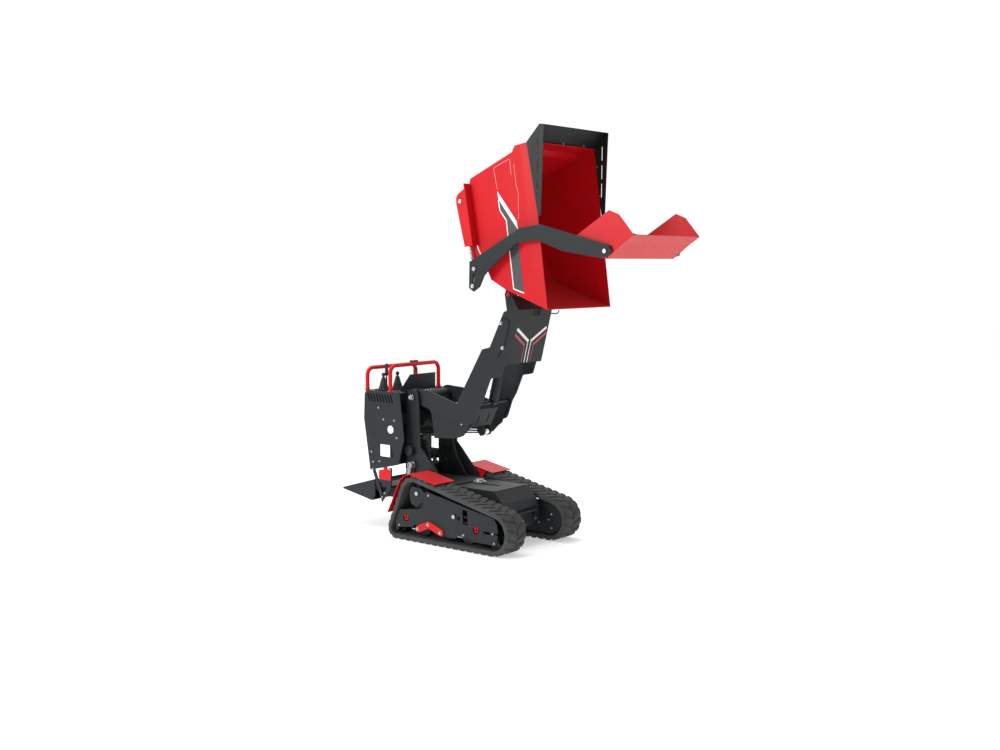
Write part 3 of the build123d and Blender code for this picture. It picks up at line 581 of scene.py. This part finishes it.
def round_cap(radius, height):
    """A turned cap: a drum with a rolled edge and a shallow dish in its top."""
    cap = begin(bpy.ops.mesh.primitive_cylinder_add, vertices=40, radius=radius, depth=height,
                location=(0, 0, height / 2))
    pick_faces(cap, looks_up)
    bpy.ops.mesh.inset(thickness=radius * 0.28)
    bpy.ops.mesh.inset(thickness=radius * 0.06, depth=-height * 0.18)
    bpy.ops.object.mode_set(mode="OBJECT")
    bpy.ops.object.transform_apply(location=True)
    bevel(cap, min(radius, height) * 0.12, 3, 50)
    return cap


def facing(point, direction):
    """A place at point whose upward axis looks along direction."""
    turn = Vector(direction).to_track_quat("Z", "Y").to_matrix().to_4x4()
    return Matrix.Translation(point) @ turn


def fasten(name, template, places, body="machine", finish=zinc_plate):
    """Copies of a template at (point, direction) places, joined as one piece."""
    return settle(copies(template, [facing(p, d) for p, d in places]), name, finish, body)


small_bolt, large_bolt, hinge_bolt = hex_bolt(0.011), hex_bolt(0.018), hex_bolt(0.030)
pin_cap = round_cap(0.0145, 0.008)
print("bolt head:", len(large_bolt.data.polygons), "faces")

# %% Bolts of the tracks, the console and the chassis
cap_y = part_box("track_frame_left")[1][1]
plate_y = cap_y - 0.007                                  # outer face of the track plate
link_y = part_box("bogie_left")[1][1]
console_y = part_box("console_side_left")[1][1]
track_bolts = [(-0.626, 0.104), (-0.014, 0.112), (0.262, 0.092), (-0.340, 0.352), (0.250, 0.156)]
link_bolts = [(-0.434, 0.1015), (-0.332, 0.144), (-0.218, 0.1015)]
console_bolts = [(-0.949, 0.923), (-0.900, 0.838), (-0.789, 0.839), (-0.766, 0.712),
                 (-1.027, 0.587), (-1.011, 0.511), (-0.943, 0.522)]
axle_ends = [(-0.096, cap_y, 0.232), (-0.459, plate_y - 0.008, 0.351)]
small_places, large_places, cap_places = [], [], []
for _, sign in sides:
    out = (0, sign, 0)
    small_places += [((x, sign * plate_y, z), out) for x, z in track_bolts]
    large_places += [((x, sign * link_y, z), out) for x, z in link_bolts]
    small_places += [((x, sign * console_y, z), out) for x, z in console_bolts]
    cap_places += [((x, sign * y, z), out) for x, y, z in axle_ends]
fasten("frame_bolts_small", small_bolt, small_places)
fasten("track_link_bolts", large_bolt, large_places)
fasten("axle_caps", pin_cap, cap_places)
print("bolts:", len(small_places) + len(large_places))

# %% Bolts and pin caps of the boom, the arms and the skip
boom_hinge, skip_hinge = Vector((-0.676, 0, 1.013)), Vector((0.165, 0, 1.776))
tip_angle = 82.4                                         # of the skip, from its rim level
tipped = Matrix.Translation(skip_hinge) @ Matrix.Rotation(radians(tip_angle), 4, "Y")
arm_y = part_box("shovel_arm_left")[1][1]
boom_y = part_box("boom_plate_left")[1][1]
cover_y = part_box("cylinder_channel_left")[1][1]
cheek_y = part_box("mast_frame")[1][1]


def on_skip(x, y, z):
    """A point given in the skip's own frame, with its rim level."""
    return tipped @ Vector((x, y, z))


boom_bolts, hood_bolts, arm_caps, channel_caps, scoop_caps, hinge_caps = ([] for _ in range(6))
for _, s in sides:
    out = (0, s, 0)
    boom_bolts += [((x, s * boom_y, z), out) for x, z in ((0.143, 1.578), (0.157, 1.408))]
    hood_bolts += [(on_skip(x, s * 0.3662, 0.500), (0, -s, 0)) for x in (-0.82, -0.62)]
    arm_caps += [(on_skip(x, s * arm_y, z), out) for x, z in ((-0.185, -0.045), (-0.071, -0.073))]
    channel_caps.append((on_skip(-0.656, s * (cover_y - 0.001), -0.122), out))
    scoop_caps.append((on_skip(-0.158, s * arm_y, 1.021), out))
    hinge_caps.append(((boom_hinge.x, s * (cheek_y + 0.008), boom_hinge.z), out))
back_plate = tipped.to_3x3() @ Vector((0.773, 0, 0.634))
hood_bolts += [(on_skip(-0.962, y, 0.491), back_plate) for y in (-0.24, 0.0, 0.24)]
fasten("boom_side_bolts", large_bolt, boom_bolts, "boom")
fasten("hood_bolts", small_bolt, hood_bolts, "skip")
fasten("arm_pin_caps", pin_cap, arm_caps, "shovel_arms")
fasten("channel_pin_caps", pin_cap, channel_caps, "skip")
fasten("scoop_pin_caps", pin_cap, scoop_caps, "shovel")
fasten("boom_hinge_caps", hinge_bolt, hinge_caps)
print("bolts on the boom and skip:", len(boom_bolts) + len(hood_bolts))

# %% [markdown]
# ## Lifting shackles
#
# Each track plate has two round windows with a forged U shackle in them, for
# the straps that hold the machine on a trailer.  Half a torus is the bend;
# its two open rings are pulled up into the legs, and closed with eyes.

# %% Shackles in the track plates
bend_radius, leg_length = 0.011, 0.020
shackle = begin(bpy.ops.mesh.primitive_torus_add, major_segments=32, minor_segments=12,
                major_radius=bend_radius, minor_radius=0.0052)
bpy.ops.object.mode_set(mode="EDIT")
bpy.ops.mesh.select_all(action="SELECT")
bpy.ops.mesh.bisect(plane_co=(0, 0, 0), plane_no=(0, 1, 0), clear_outer=True, use_fill=False)
bpy.ops.mesh.select_all(action="DESELECT")
bpy.ops.mesh.select_non_manifold()
bpy.ops.mesh.extrude_region_move(TRANSFORM_OT_translate={"value": (0, leg_length, 0)})
bpy.ops.mesh.edge_face_add()
bpy.ops.mesh.select_all(action="DESELECT")
for x in (-bend_radius, bend_radius):
    bpy.ops.mesh.primitive_uv_sphere_add(segments=16, ring_count=10, radius=0.0085,
                                         location=(x, leg_length, 0))
bpy.ops.object.mode_set(mode="OBJECT")
places = [Matrix.Translation((x, sign * (plate_y - 0.006), z))
          @ Matrix.Rotation(radians(90), 4, "X")
          for _, sign in sides for x, z in ((-0.560, 0.161), (0.100, 0.157))]
settle(copies(shackle, places), "lifting_shackles", red_powder, "machine", smooth=50)
drop(shackle)
print("shackles:", len(places))

# %% [markdown]
# ## Decals
#
# The stripes on the skip and the boom are cut vinyl film, 0.1 mm thick on
# the real machine and 0.4 mm here so that the film doesn't sink into the
# steel.  A disc with as many corners as the stripe has is added, each corner
# is moved to its place on the sheet, and Solidify gives the film its
# thickness.  No lettering is cut.

# %% A film cut to an outline
film = 0.0004


def flat_face(corners):
    """One flat face whose corners are 3-D points."""
    sheet = begin(bpy.ops.mesh.primitive_circle_add, vertices=len(corners), radius=1,
                  fill_type="NGON")
    for corner, place in zip(sheet.data.vertices, corners):
        corner.co = place
    return sheet


def cut_film(name, corners, lift, finish, body, outward):
    """A flat film whose corners are 3-D points on a sheet, lifted outwards."""
    outward = Vector(outward).normalized()
    sheet = flat_face([Vector(place) + outward * lift for place in corners])
    face_to(sheet, outward)
    modify(sheet, "SOLIDIFY", thickness=film, offset=1.0)
    return settle(sheet, name, finish, body)


def stroke(points, width):
    """Corners of a band of one width along a bent line of (u, v) points."""
    left, right = [], []
    for i, point in enumerate(points):
        before = (Vector(point) - Vector(points[max(i - 1, 0)]))
        after = (Vector(points[min(i + 1, len(points) - 1)]) - Vector(point))
        before = before.normalized() if before.length else after.normalized()
        after = after.normalized() if after.length else before
        along = (before + after).normalized()
        across = Vector((-along.y, along.x)) * width / 2 / max(along.dot(after), 0.5)
        left.append(Vector(point) + across)
        right.append(Vector(point) - across)
    return left + right[::-1]


print("corners of a bent stroke:", len(stroke([(0, 0), (1, 0), (1, 1)], 0.1)))

# %% Stripes on both sides of the skip
rim_half, floor_half, crease, floor_at = 0.365, 0.340, 0.410, -0.090
side_slope = (rim_half - floor_half) / (crease - floor_at)


def skip_side(u, v, sign):
    """A point on the skip's slanting side sheet, from its (x, z) in the skip's frame."""
    y = rim_half - max(0.0, crease - v) * side_slope
    return on_skip(u, sign * y, v)


stripe = [(-0.622, 0.176), (-0.405, 0.310), (0.016, 0.310), (-0.016, 0.232), (-0.470, 0.229),
          (-0.548, 0.181)]
stripe_border = [(-0.619, 0.171), (-0.549, 0.176), (-0.474, 0.223), (-0.016, 0.226),
                 (0.022, 0.312)]
broad_band = [(-0.678, 0.169), (-0.455, 0.313), (-0.398, 0.316), (-0.622, 0.172)]
panel_line = [(-0.690, 0.172), (-0.828, 0.158), (-0.838, 0.168), (-0.868, 0.296),
              (-0.860, 0.307), (-0.766, 0.305)]
panel_edge = [(-0.829, 0.337), (-0.691, 0.340), (-0.636, 0.351), (-0.461, 0.330)]
skip_films = [                                           # name, outline, lift, finish
    ("stripe", stripe, 0.0001, decal_grey),
    ("stripe_border", stroke(stripe_border, 0.008), 0.0006, decal_white),
    ("broad_band", broad_band, 0.0006, decal_white),
    ("panel_line", stroke(panel_line, 0.0028), 0.0003, decal_pale),
    ("panel_edge", stroke(panel_edge, 0.0026), 0.0003, decal_pale),
]
for side, sign in sides:
    outward = tipped.to_3x3() @ Vector((0, sign, -side_slope))
    for name, outline, lift, finish in skip_films:
        cut_film(f"skip_{name}_{side}", [skip_side(u, v, sign) for u, v in outline], lift,
                 finish, "skip", outward)
print(len(skip_films), "films on each side of the skip")

# %% Forked stripe on the boom's front plate


def on_plate(plate, y, v):
    """A point on a sloping plate, given by its foot and top: y across it, v up along it."""
    foot, top = (Vector(end) for end in plate)
    return foot + (top - foot).normalized() * v + Vector((0, y, 0))


def out_of(plate):
    """The direction that a sloping plate faces."""
    up = (Vector(plate[1]) - Vector(plate[0])).normalized()
    return Vector((up.z, 0, -up.x))


front_plate = ((0.205, 0, 1.298), (0.301, 0, 1.675))
lap = 0.004                                              # how far arm and leg run past the bend
forks = [("white", decal_white, (-0.166, 0.253), (-0.017, 0.158), (-0.0165, 0.004), 0.020, 0.008),
         ("red", decal_red, (-0.178, 0.214), (-0.050, 0.130), (-0.049, 0.012), 0.018, 0.007)]
for side, sign in sides:
    for colour, finish, end, (bend_y, bend_v), foot, arm_width, leg_width in forks:
        arm = stroke([end, (bend_y + lap, bend_v)], arm_width)
        leg = stroke([(bend_y, bend_v + lap), foot], leg_width)
        for part, outline, lift in (("arm", arm, 0.0001), ("leg", leg, 0.0004)):
            # the forks are drawn for the right side, where y is negative
            corners = [on_plate(front_plate, -sign * y, v) for y, v in outline]
            cut_film(f"boom_stripe_{colour}_{part}_{side}", corners, lift, finish, "boom",
                     out_of(front_plate))
print("forked stripe cut on the front plate")

# %% [markdown]
# ## Hand levers
#
# The driver stands behind the console.  Two levers rise from pleated rubber
# gaiters and end in ball knobs, with a taller grip beside one of them and a
# pair of knobs on a stem in front.  Every one is a profile spun round an
# upright line.

# %% A profile spun round an upright line


def spun(profile, steps=32):
    """A closed turned shape from (radius, height) points, standing on the origin."""
    shape = begin(bpy.ops.mesh.primitive_circle_add, vertices=len(profile), radius=1)
    for corner, (radius, height) in zip(shape.data.vertices, profile):
        corner.co = (radius, 0, height)
    # the edge that closes the circle would lie on the axis, so it goes
    bpy.ops.object.mode_set(mode="EDIT")
    bpy.ops.mesh.select_mode(type="EDGE")
    bpy.ops.mesh.select_all(action="DESELECT")
    bpy.ops.object.mode_set(mode="OBJECT")
    for edge in shape.data.edges:
        edge.select = set(edge.vertices) == {0, len(profile) - 1}
    bpy.ops.object.mode_set(mode="EDIT")
    bpy.ops.mesh.delete(type="EDGE_FACE")
    bpy.ops.mesh.select_all(action="SELECT")
    bpy.ops.mesh.spin(steps=steps, angle=2 * pi, center=(0, 0, 0), axis=(0, 0, 1))
    bpy.ops.mesh.select_all(action="SELECT")
    bpy.ops.mesh.remove_doubles(threshold=0.00002)
    bpy.ops.mesh.normals_make_consistent(inside=False)
    bpy.ops.mesh.select_mode(type="VERT")
    bpy.ops.object.mode_set(mode="OBJECT")
    return shape


def turned_piece(name, profile, place, finish, smooth=30, steps=32):
    """A spun profile that stands upright at a place on the machine."""
    piece = spun(profile, steps)
    piece.location = place
    return settle(piece, name, finish, "machine", smooth)


def rod(radius, height):
    """Profile of a plain round rod."""
    return [(0.0, 0.0), (radius, 0.0), (radius, height), (0.0, height)]


def pleats(bottom, top, height, folds):
    """Profile of a gaiter: a cone of radii bottom to top with sharp folds."""
    points = [(0.0, 0.0), (bottom + 0.004, 0.0), (bottom + 0.004, 0.003)]
    for i in range(2 * folds + 1):
        share = i / (2 * folds)
        radius = bottom + (top - bottom) * share + (0.0 if i % 2 else 0.0035)
        points.append((radius, 0.004 + height * share))
    return points + [(0.0, height + 0.005)]


gaiter = pleats(0.036, 0.012, 0.082, 7)
print("points in a gaiter's profile:", len(gaiter))

# %% Two levers, a grip and their stand
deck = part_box("console_deck")[1][2]
base_low, base_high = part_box("control_levers")
lever_x, lever_top, stand_height = -0.980, base_high[2] - 0.082, 0.008
knob = [(0.0, -0.020), (0.008, -0.020), (0.0085, -0.012), (0.0125, -0.008), (0.0150, 0.0),
        (0.0135, 0.008), (0.0085, 0.0135), (0.0, 0.0155)]
for number, y in enumerate((-0.200, -0.050), start=1):
    turned_piece(f"lever_gaiter_{number}", gaiter, (lever_x, y, deck + stand_height),
                 gaiter_rubber, smooth=20)
    turned_piece(f"lever_rod_{number}", rod(0.005, lever_top - deck), (lever_x, y, deck),
                 zinc_plate, steps=20)
    turned_piece(f"lever_knob_{number}", knob, (lever_x, y, lever_top), knob_plastic,
                 smooth=60)
grip = [(0.0, 0.0), (0.0055, 0.0), (0.0055, 0.100), (0.0120, 0.105), (0.0130, 0.135),
        (0.0115, 0.165), (0.0135, 0.185), (0.0110, base_high[2] - deck - 0.008),
        (0.0, base_high[2] - deck - 0.002)]
turned_piece("lever_grip", grip, (lever_x, -0.167, deck + stand_height / 2), knob_plastic,
             smooth=50)
stand = begin(bpy.ops.mesh.primitive_cube_add, size=1, scale=(0.090, 0.250, stand_height),
              location=((base_low[0] + base_high[0]) / 2, (base_low[1] + base_high[1]) / 2,
                        deck + stand_height / 2))
bpy.ops.object.transform_apply(location=False, rotation=False, scale=True)
bevel(stand, 0.003, segments=3)
settle(stand, "lever_stand", charcoal_powder, "machine")
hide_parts("control_levers")
print("levers stand on the deck at z =", round(deck, 4))

# %% [markdown]
# ## Fittings
#
# What makes the machine look used for work is small: the glands and ports of
# the two big cylinders, the couplings of the oil circuit on the mast, the
# tank's filler cap, the blank badge on the console, and the anti-slip bars on
# the step.  Each is a turned or cut shape of its own.

# %% Glands and ports on the cylinders
gland = [(1.0, -0.004), (1.10, 0.000), (1.10, 0.020), (1.00, 0.024), (0.80, 0.026),
         (0.80, 0.034), (0.60, 0.037)]                   # radii as shares of the barrel's
cylinders = [                                            # foot, eye, barrel, radius, port side
    ("lift", Vector((-0.860, 0, 0.740)), Vector((-0.160, 0, 0.785)), 0.360, 0.032, 1),
    ("tip", Vector((-0.085, 0, 1.000)), Vector((0.1365, 0, 1.882)), 0.480, 0.034, -1),
]
port = hex_bolt(0.016)
for name, foot, eye, barrel, radius, port_side in cylinders:
    body, along = f"{name}_barrel", (eye - foot).normalized()
    ring = spun([(share * radius, height) for share, height in gland], 40)
    ring.matrix_world = facing(foot + along * (barrel - 0.020), along)
    settle(ring, f"{name}_gland", charcoal_powder, body, smooth=25)
    # ports stand on the barrel, near its two ends
    out = Vector((along.z, 0, -along.x)) * port_side
    spots = [foot + along * reach + out * (radius - 0.001) for reach in (0.070, barrel - 0.050)]
    fasten(f"{name}_ports", port, [(spot, out) for spot in spots], body)
drop(port)
print("glands and ports on", len(cylinders), "cylinders")

# %% Oil couplings, filler cap and badge
coupling = spun([(0.0, 0.0), (0.027, 0.0), (0.027, 0.008), (0.0215, 0.011), (0.0215, 0.017),
                 (0.0265, 0.020), (0.0265, 0.034), (0.0220, 0.038), (0.0160, 0.038),
                 (0.0140, 0.034), (0.0, 0.034)], 36)
mast_out = cheek_y + 0.0002
fasten("oil_couplings", coupling,
       [((x, -mast_out, z), (0, -1, 0)) for x, z in ((-0.676, 0.512), (-0.690, 0.468))],
       finish=cast_aluminium)
filler = [(0.0, 0.0), (0.048, 0.0), (0.050, 0.004), (0.050, 0.010), (0.046, 0.013),
          (0.034, 0.014), (0.032, 0.022), (0.030, 0.025), (0.0, 0.025)]
turned_piece("tank_filler_cap", filler, (-0.235, 0.030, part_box("chassis_cover")[1][2]),
             cast_aluminium, steps=48)
badge = spun([(0.0, 0.0), (0.029, 0.0), (0.030, 0.0012), (0.029, 0.0030), (0.0265, 0.0030),
              (0.0255, 0.0022), (0.0, 0.0022)], 56)
fasten("blank_badge", badge, [((-0.828, -console_y, 0.768), (0, -1, 0))], finish=decal_white)
drop(coupling, badge)
print("fittings placed")

# %% Twin knobs on the front stem
stem_x, knob_height = -0.856, 0.205
turned_piece("front_stem", rod(0.0045, knob_height - 0.010), (stem_x, 0.0, deck + 0.001),
             knob_plastic, steps=16)
twin_knob = [(0.0, -0.014), (0.008, -0.014), (0.0105, -0.006), (0.0175, 0.0), (0.0185, 0.007),
             (0.0150, 0.013), (0.0, 0.015)]
for number, y in enumerate((-0.022, 0.022), start=1):
    turned_piece(f"front_knob_{number}", twin_knob, (stem_x, y, deck + knob_height),
                 knob_plastic, smooth=60, steps=28)
yoke = begin(bpy.ops.mesh.primitive_cylinder_add, vertices=16, radius=0.004, depth=0.050,
             location=(stem_x, 0, deck + knob_height - 0.015), rotation=(radians(90), 0, 0))
bevel(yoke, 0.001, sharp=50)
settle(yoke, "front_yoke", knob_plastic, "machine")
print("the front knobs are", knob_height, "m over the deck")

# %% Anti-slip bars on the step
near, far = Vector((-1.078, 0, 0.3586)), Vector((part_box("foot_platform")[0][0], 0, 0.279))
fall = (far - near).normalized()
slope = Matrix.Rotation(atan2(-fall.z, fall.x), 4, "Y")
rows, columns, row_pitch, column_pitch, stagger = 7, 8, 0.036, 0.062, 0.010
bar = begin(bpy.ops.mesh.primitive_cube_add, size=1)
for corner in bar.data.vertices:
    length, width, z = (0.004, 0.050, 0.003) if corner.co.z > 0 else (0.008, 0.054, -0.001)
    corner.co = (corner.co.x * length, corner.co.y * width, z)
bevel(bar, 0.0008)
places = []
for row in range(rows):
    for column in range(columns):
        y = (column - (columns - 1) / 2) * column_pitch + (stagger if row % 2 else -stagger)
        spot = near + fall * (0.030 + row * row_pitch) + Vector((0, y, 0))
        places.append(Matrix.Translation(spot) @ slope)
settle(copies(bar, places), "step_grip_bars", charcoal_powder, "platform",
       smooth=40)
drop(bar)
print("grip bars:", len(places))

# %% [markdown]
# ## Behind the console
#
# The engine hangs behind the seat of the lift cylinder: a crankcase below
# and a finned head above, where a fan blows.  The fins are one thin plate,
# bevelled and copied.  The console's back panel is a bent sheet with a wide
# opening, so a grid of three by four faces is bent at its rows, one face of
# the middle column is deleted and Solidify gives the sheet its 5 mm.

# %% Engine with a finned head
block_low, block_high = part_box("engine_block")
fin_count, fin_pitch, lowest_fin, fin_half = 9, 0.0225, 0.672, 0.003


def bevelled_box(low, high, round_edge):
    """A box between two corners with rounded edges, for castings and bars."""
    box = begin(bpy.ops.mesh.primitive_cube_add, size=1)
    for corner in box.data.vertices:
        corner.co = [l if c < 0 else h for c, l, h in zip(corner.co, low, high)]
    bevel(box, round_edge, segments=3)
    return box


crankcase = bevelled_box((block_low[0] + 0.006, -0.100, block_low[2]),
                         (block_high[0], 0.100, 0.662), 0.012)
head = bevelled_box((block_low[0] + 0.012, -0.165, 0.652),
                    (block_high[0], 0.165, block_high[2] - 0.004), 0.010)
fin = bevelled_box((block_low[0], -0.195, -fin_half),
                   (block_high[0] - 0.004, 0.195, fin_half), 0.001)
fins = copies(fin, [Matrix.Translation((0, 0, lowest_fin + fin_pitch * i))
                    for i in range(fin_count)])
drop(fin)
engine = settle(join(crankcase, head, fins), "engine_casting", cast_dark, "machine")
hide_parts("engine_block")
print("engine:", len(engine.data.polygons), "faces")

# %% Back panel with its opening
panel_low, panel_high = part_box("console_rear_panel")
bends = [(-1.0945, panel_high[2]), (-1.1030, 0.832), (-1.0880, 0.7375), (-1.0500, 0.4985),
         (-1.0420, panel_low[2])]
spans = [panel_low[1], -0.262, 0.262, panel_high[1]]


def in_opening(face):
    """Whether a face of the panel covers its opening."""
    return abs(face.center.y) < 0.01 and 0.50 < face.center.z < 0.73


panel = begin(bpy.ops.mesh.primitive_grid_add, x_subdivisions=3, y_subdivisions=4, size=2)
for corner in panel.data.vertices:
    x, z = bends[round((1 - corner.co.y) * 2)]
    corner.co = (x, spans[round((corner.co.x + 1) * 1.5)], z)
pick_faces(panel, in_opening, "FACE")
bpy.ops.mesh.delete(type="FACE")
bpy.ops.mesh.select_mode(type="VERT")
bpy.ops.object.mode_set(mode="OBJECT")
face_to(panel, Vector((-1, 0, 0)))
modify(panel, "SOLIDIFY", thickness=0.005, offset=-1.0)
bevel(panel, 0.001, sharp=60)
settle(panel, "console_back_sheet", charcoal_powder, "machine")
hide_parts("console_rear_panel")
print("back panel:", len(panel.data.polygons), "faces")

# %% [markdown]
# ## Struts, slots and small ironwork
#
# A flat bar on each side runs from the foot of the console down to the step's
# hinge and up again.  Dark films paint the shade in the slots of the knee
# plate and the shadow beside the folded edge on the boom's side.  Rails stand
# on small red flanges.  A bent rod under the head plate is where the hoses
# rest, which are left out here.

# %% Struts under the console
strut_y, strut_line = console_y - 0.0085, [(-1.020, 0.470), (-0.925, 0.240), (-0.850, 0.335),
                                           (-0.838, 0.480)]
for side, sign in sides:
    strut = flat_face([(x, sign * strut_y, z) for x, z in stroke(strut_line, 0.030)])
    modify(strut, "SOLIDIFY", thickness=0.007, offset=0.0)
    outwards(strut)
    bevel(strut, 0.0015)
    settle(strut, f"console_strut_{side}", charcoal_powder, "machine")
strut_bolts = [(-1.016, 0.458), (-0.925, 0.250), (-0.839, 0.468), (-0.898, 0.285)]
inner_bolts = [(0.262, 0.092), (0.236, 0.150), (0.150, 0.120), (0.262, 0.190)]
bolt_y, inner_plate = strut_y + 0.0035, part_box("track_frame_left")[0][1]
fasten("strut_bolts", small_bolt,
       [((x, s * bolt_y, z), (0, s, 0)) for _, s in sides for x, z in strut_bolts])
fasten("inner_plate_bolts", small_bolt,
       [((x, s * inner_plate, z), (0, -s, 0)) for _, s in sides for x, z in inner_bolts])
print("struts stand at y =", round(strut_y, 4))

# %% Painted shade in the knee's slots and painted shadow along the boom's side
knee_plate = ((-0.142, 0, 0.830), (-0.078, 0, 0.960))
# painted shade: nearly black films fill the two slots of the knee plate
for number, y in enumerate((-0.128, -0.022), start=1):
    corners = [on_plate(knee_plate, a, v) for a, v in stroke([(y, 0.030), (y, 0.100)], 0.013)]
    cut_film(f"knee_slot_{number}", corners, 0.0004, painted_slot_shade, "boom", out_of(knee_plate))
# painted shadow: a nearly black film along the folded edge on the boom's side stands for the
# shadow beside that edge
hook = [(0.150, 1.612), (0.188, 1.615), (0.211, 1.594), (0.212, 1.560), (0.176, 1.440),
        (0.110, 1.338)]
for side, sign in sides:
    corners = [(x, sign * boom_y, z) for x, z in stroke(hook, 0.014)]
    cut_film(f"boom_side_groove_{side}", corners, 0.0004, painted_slot_shade, "boom", (0, sign, 0))
# the grooves named here are painted shadow films
print("slots on the knee and grooves on the boom")

# %% Rail flanges and hose rod
flange = spun([(0.0, 0.0), (0.026, 0.0), (0.026, 0.003), (0.018, 0.005), (0.0165, 0.016),
               (0.0, 0.016)])
feet = []
for rail in ("handrail_front", "handrail_rear"):
    low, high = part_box(rail)
    tube = (high[0] - low[0]) / 2
    for y in (low[1] + tube, high[1] - tube):
        feet.append(((low[0] + tube, y, deck + 0.0002), (0, 0, 1)))
fasten("rail_flanges", flange, feet, finish=red_powder)
drop(flange)

hose_rod = begin(bpy.ops.mesh.primitive_circle_add, vertices=14, radius=0.0045,
                 fill_type="NGON", rotation=(radians(90), 0, 0))
bpy.ops.object.transform_apply(location=False, rotation=True)
bpy.ops.object.mode_set(mode="EDIT")
bpy.ops.mesh.select_all(action="SELECT")
for step in ((0, 0.070, -0.004), (0, 0.020, 0.001), (0, 0.014, 0.007), (0, 0.008, 0.012)):
    bpy.ops.mesh.extrude_region_move(TRANSFORM_OT_translate={"value": step})
bpy.ops.object.mode_set(mode="OBJECT")
hose_rod.location = (0.290, 0.170, 1.640)
outwards(hose_rod)
settle(hose_rod, "hose_rod", knob_plastic, "boom", smooth=50)
print("flanges:", len(feet))

# %% Ledge and bolts on the chassis nose
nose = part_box("chassis_frame")[1][0]
ledge = bevelled_box((nose + 0.0003, -0.135, 0.232), (nose + 0.036, 0.135, 0.239), 0.002)
rib = bevelled_box((nose + 0.0003, -0.004, 0.196), (nose + 0.026, 0.004, 0.2335), 0.0015)
ribs = copies(rib, [Matrix.Translation((0, y, 0)) for y in (-0.120, 0.120)])
settle(join(ledge, ribs), "nose_ledge", charcoal_powder, "machine")
nose_bolt = hex_bolt(0.013)
fasten("nose_bolts", nose_bolt, [((nose, y, 0.170), (1, 0, 0)) for y in (-0.15, 0.0, 0.15)])
print("the nose stands at x =", round(nose, 3))

# %% Clear away the templates
drop(rib, nose_bolt, small_bolt, large_bolt, hinge_bolt, pin_cap)
default_names = ("Cube", "Cylinder", "Circle", "Torus", "Grid")
left_over = [o.name for o in bpy.data.objects if o.name.startswith(default_names)]
print("templates left:", left_over)

# %% [markdown]
# ## Studio
#
# A machine shows best on a seamless pale floor, under large soft lights, one
# overhead and one from the machine's right.  The floor glows a little of its
# own so that it stays white.  The surround is graded by direction: white
# behind the machine and less than half as bright in front, so that the dark
# plates stay dark.  The camera stands in front and to the machine's right,
# 2 m up, and the Standard view transform leaves white as white.

# %% Floor and surround
floor = begin(bpy.ops.mesh.primitive_plane_add, size=60.0)
floor.name = "studio_floor"
floor_paint, tree = start_material("Matt white studio floor")
mottle = put(tree, "ShaderNodeTexNoise", values={"Scale": 0.6})
shade = put(tree, "ShaderNodeMix", {"data_type": "RGBA"},
            {6: linear("F2F2F2"), 7: linear("ECECEC")}, {"Factor": mottle.outputs["Fac"]})
end_surface(tree, {"Roughness": 0.9, "Emission Color": (1, 1, 1, 1), "Emission Strength": 0.42},
            {"Base Color": shade.outputs[2]})
floor.data.materials.append(floor_paint)

world = bpy.data.worlds.new("white surround")
bpy.context.scene.world = world
world.use_nodes = True
tree = world.node_tree
away = put(tree, "ShaderNodeVectorMath", {"operation": "DOT_PRODUCT"}, {1: (-0.63, 0.776, 0.0)},
           {0: put(tree, "ShaderNodeTexCoord").outputs["Generated"]})
glow = put(tree, "ShaderNodeMapRange", {"interpolation_type": "SMOOTHSTEP"},
           {"From Min": -0.3, "From Max": 0.6, "To Min": 0.42, "To Max": 1.02},
           {"Value": away.outputs["Value"]})
tree.links.new(glow.outputs["Result"], tree.nodes["Background"].inputs["Strength"])
tree.nodes["Background"].inputs["Color"].default_value = (1, 1, 1, 1)
print("floor and surround:", floor.name, "/", world.name)

# %% Lights and camera


def soft_light(name, place, aim, size, power):
    """A square soft box at place, facing aim."""
    bpy.ops.object.light_add(type="AREA", location=place)
    lamp = bpy.context.object
    lamp.name = name
    lamp.data.size = size
    lamp.data.energy = power
    lamp.rotation_euler = (Vector(aim) - Vector(place)).to_track_quat("-Z", "Y").to_euler()
    return lamp


soft_light("overhead box", (-1.0, -0.5, 6.5), (0, 0, 0.8), 4.0, 230)
soft_light("side box", (-2.5, -6.5, 4.0), (0, 0, 1.2), 2.5, 260)

bpy.ops.object.camera_add(location=(5.541, -6.843, 2.0),
                          rotation=(radians(90 - 5.19), 0, radians(39.1)))
camera = bpy.context.object
camera.data.lens = 44.8
camera.data.sensor_width = 36.0
bpy.context.scene.camera = camera
bpy.context.scene.view_settings.view_transform = "Standard"
print("camera at", [round(v, 2) for v in camera.location])
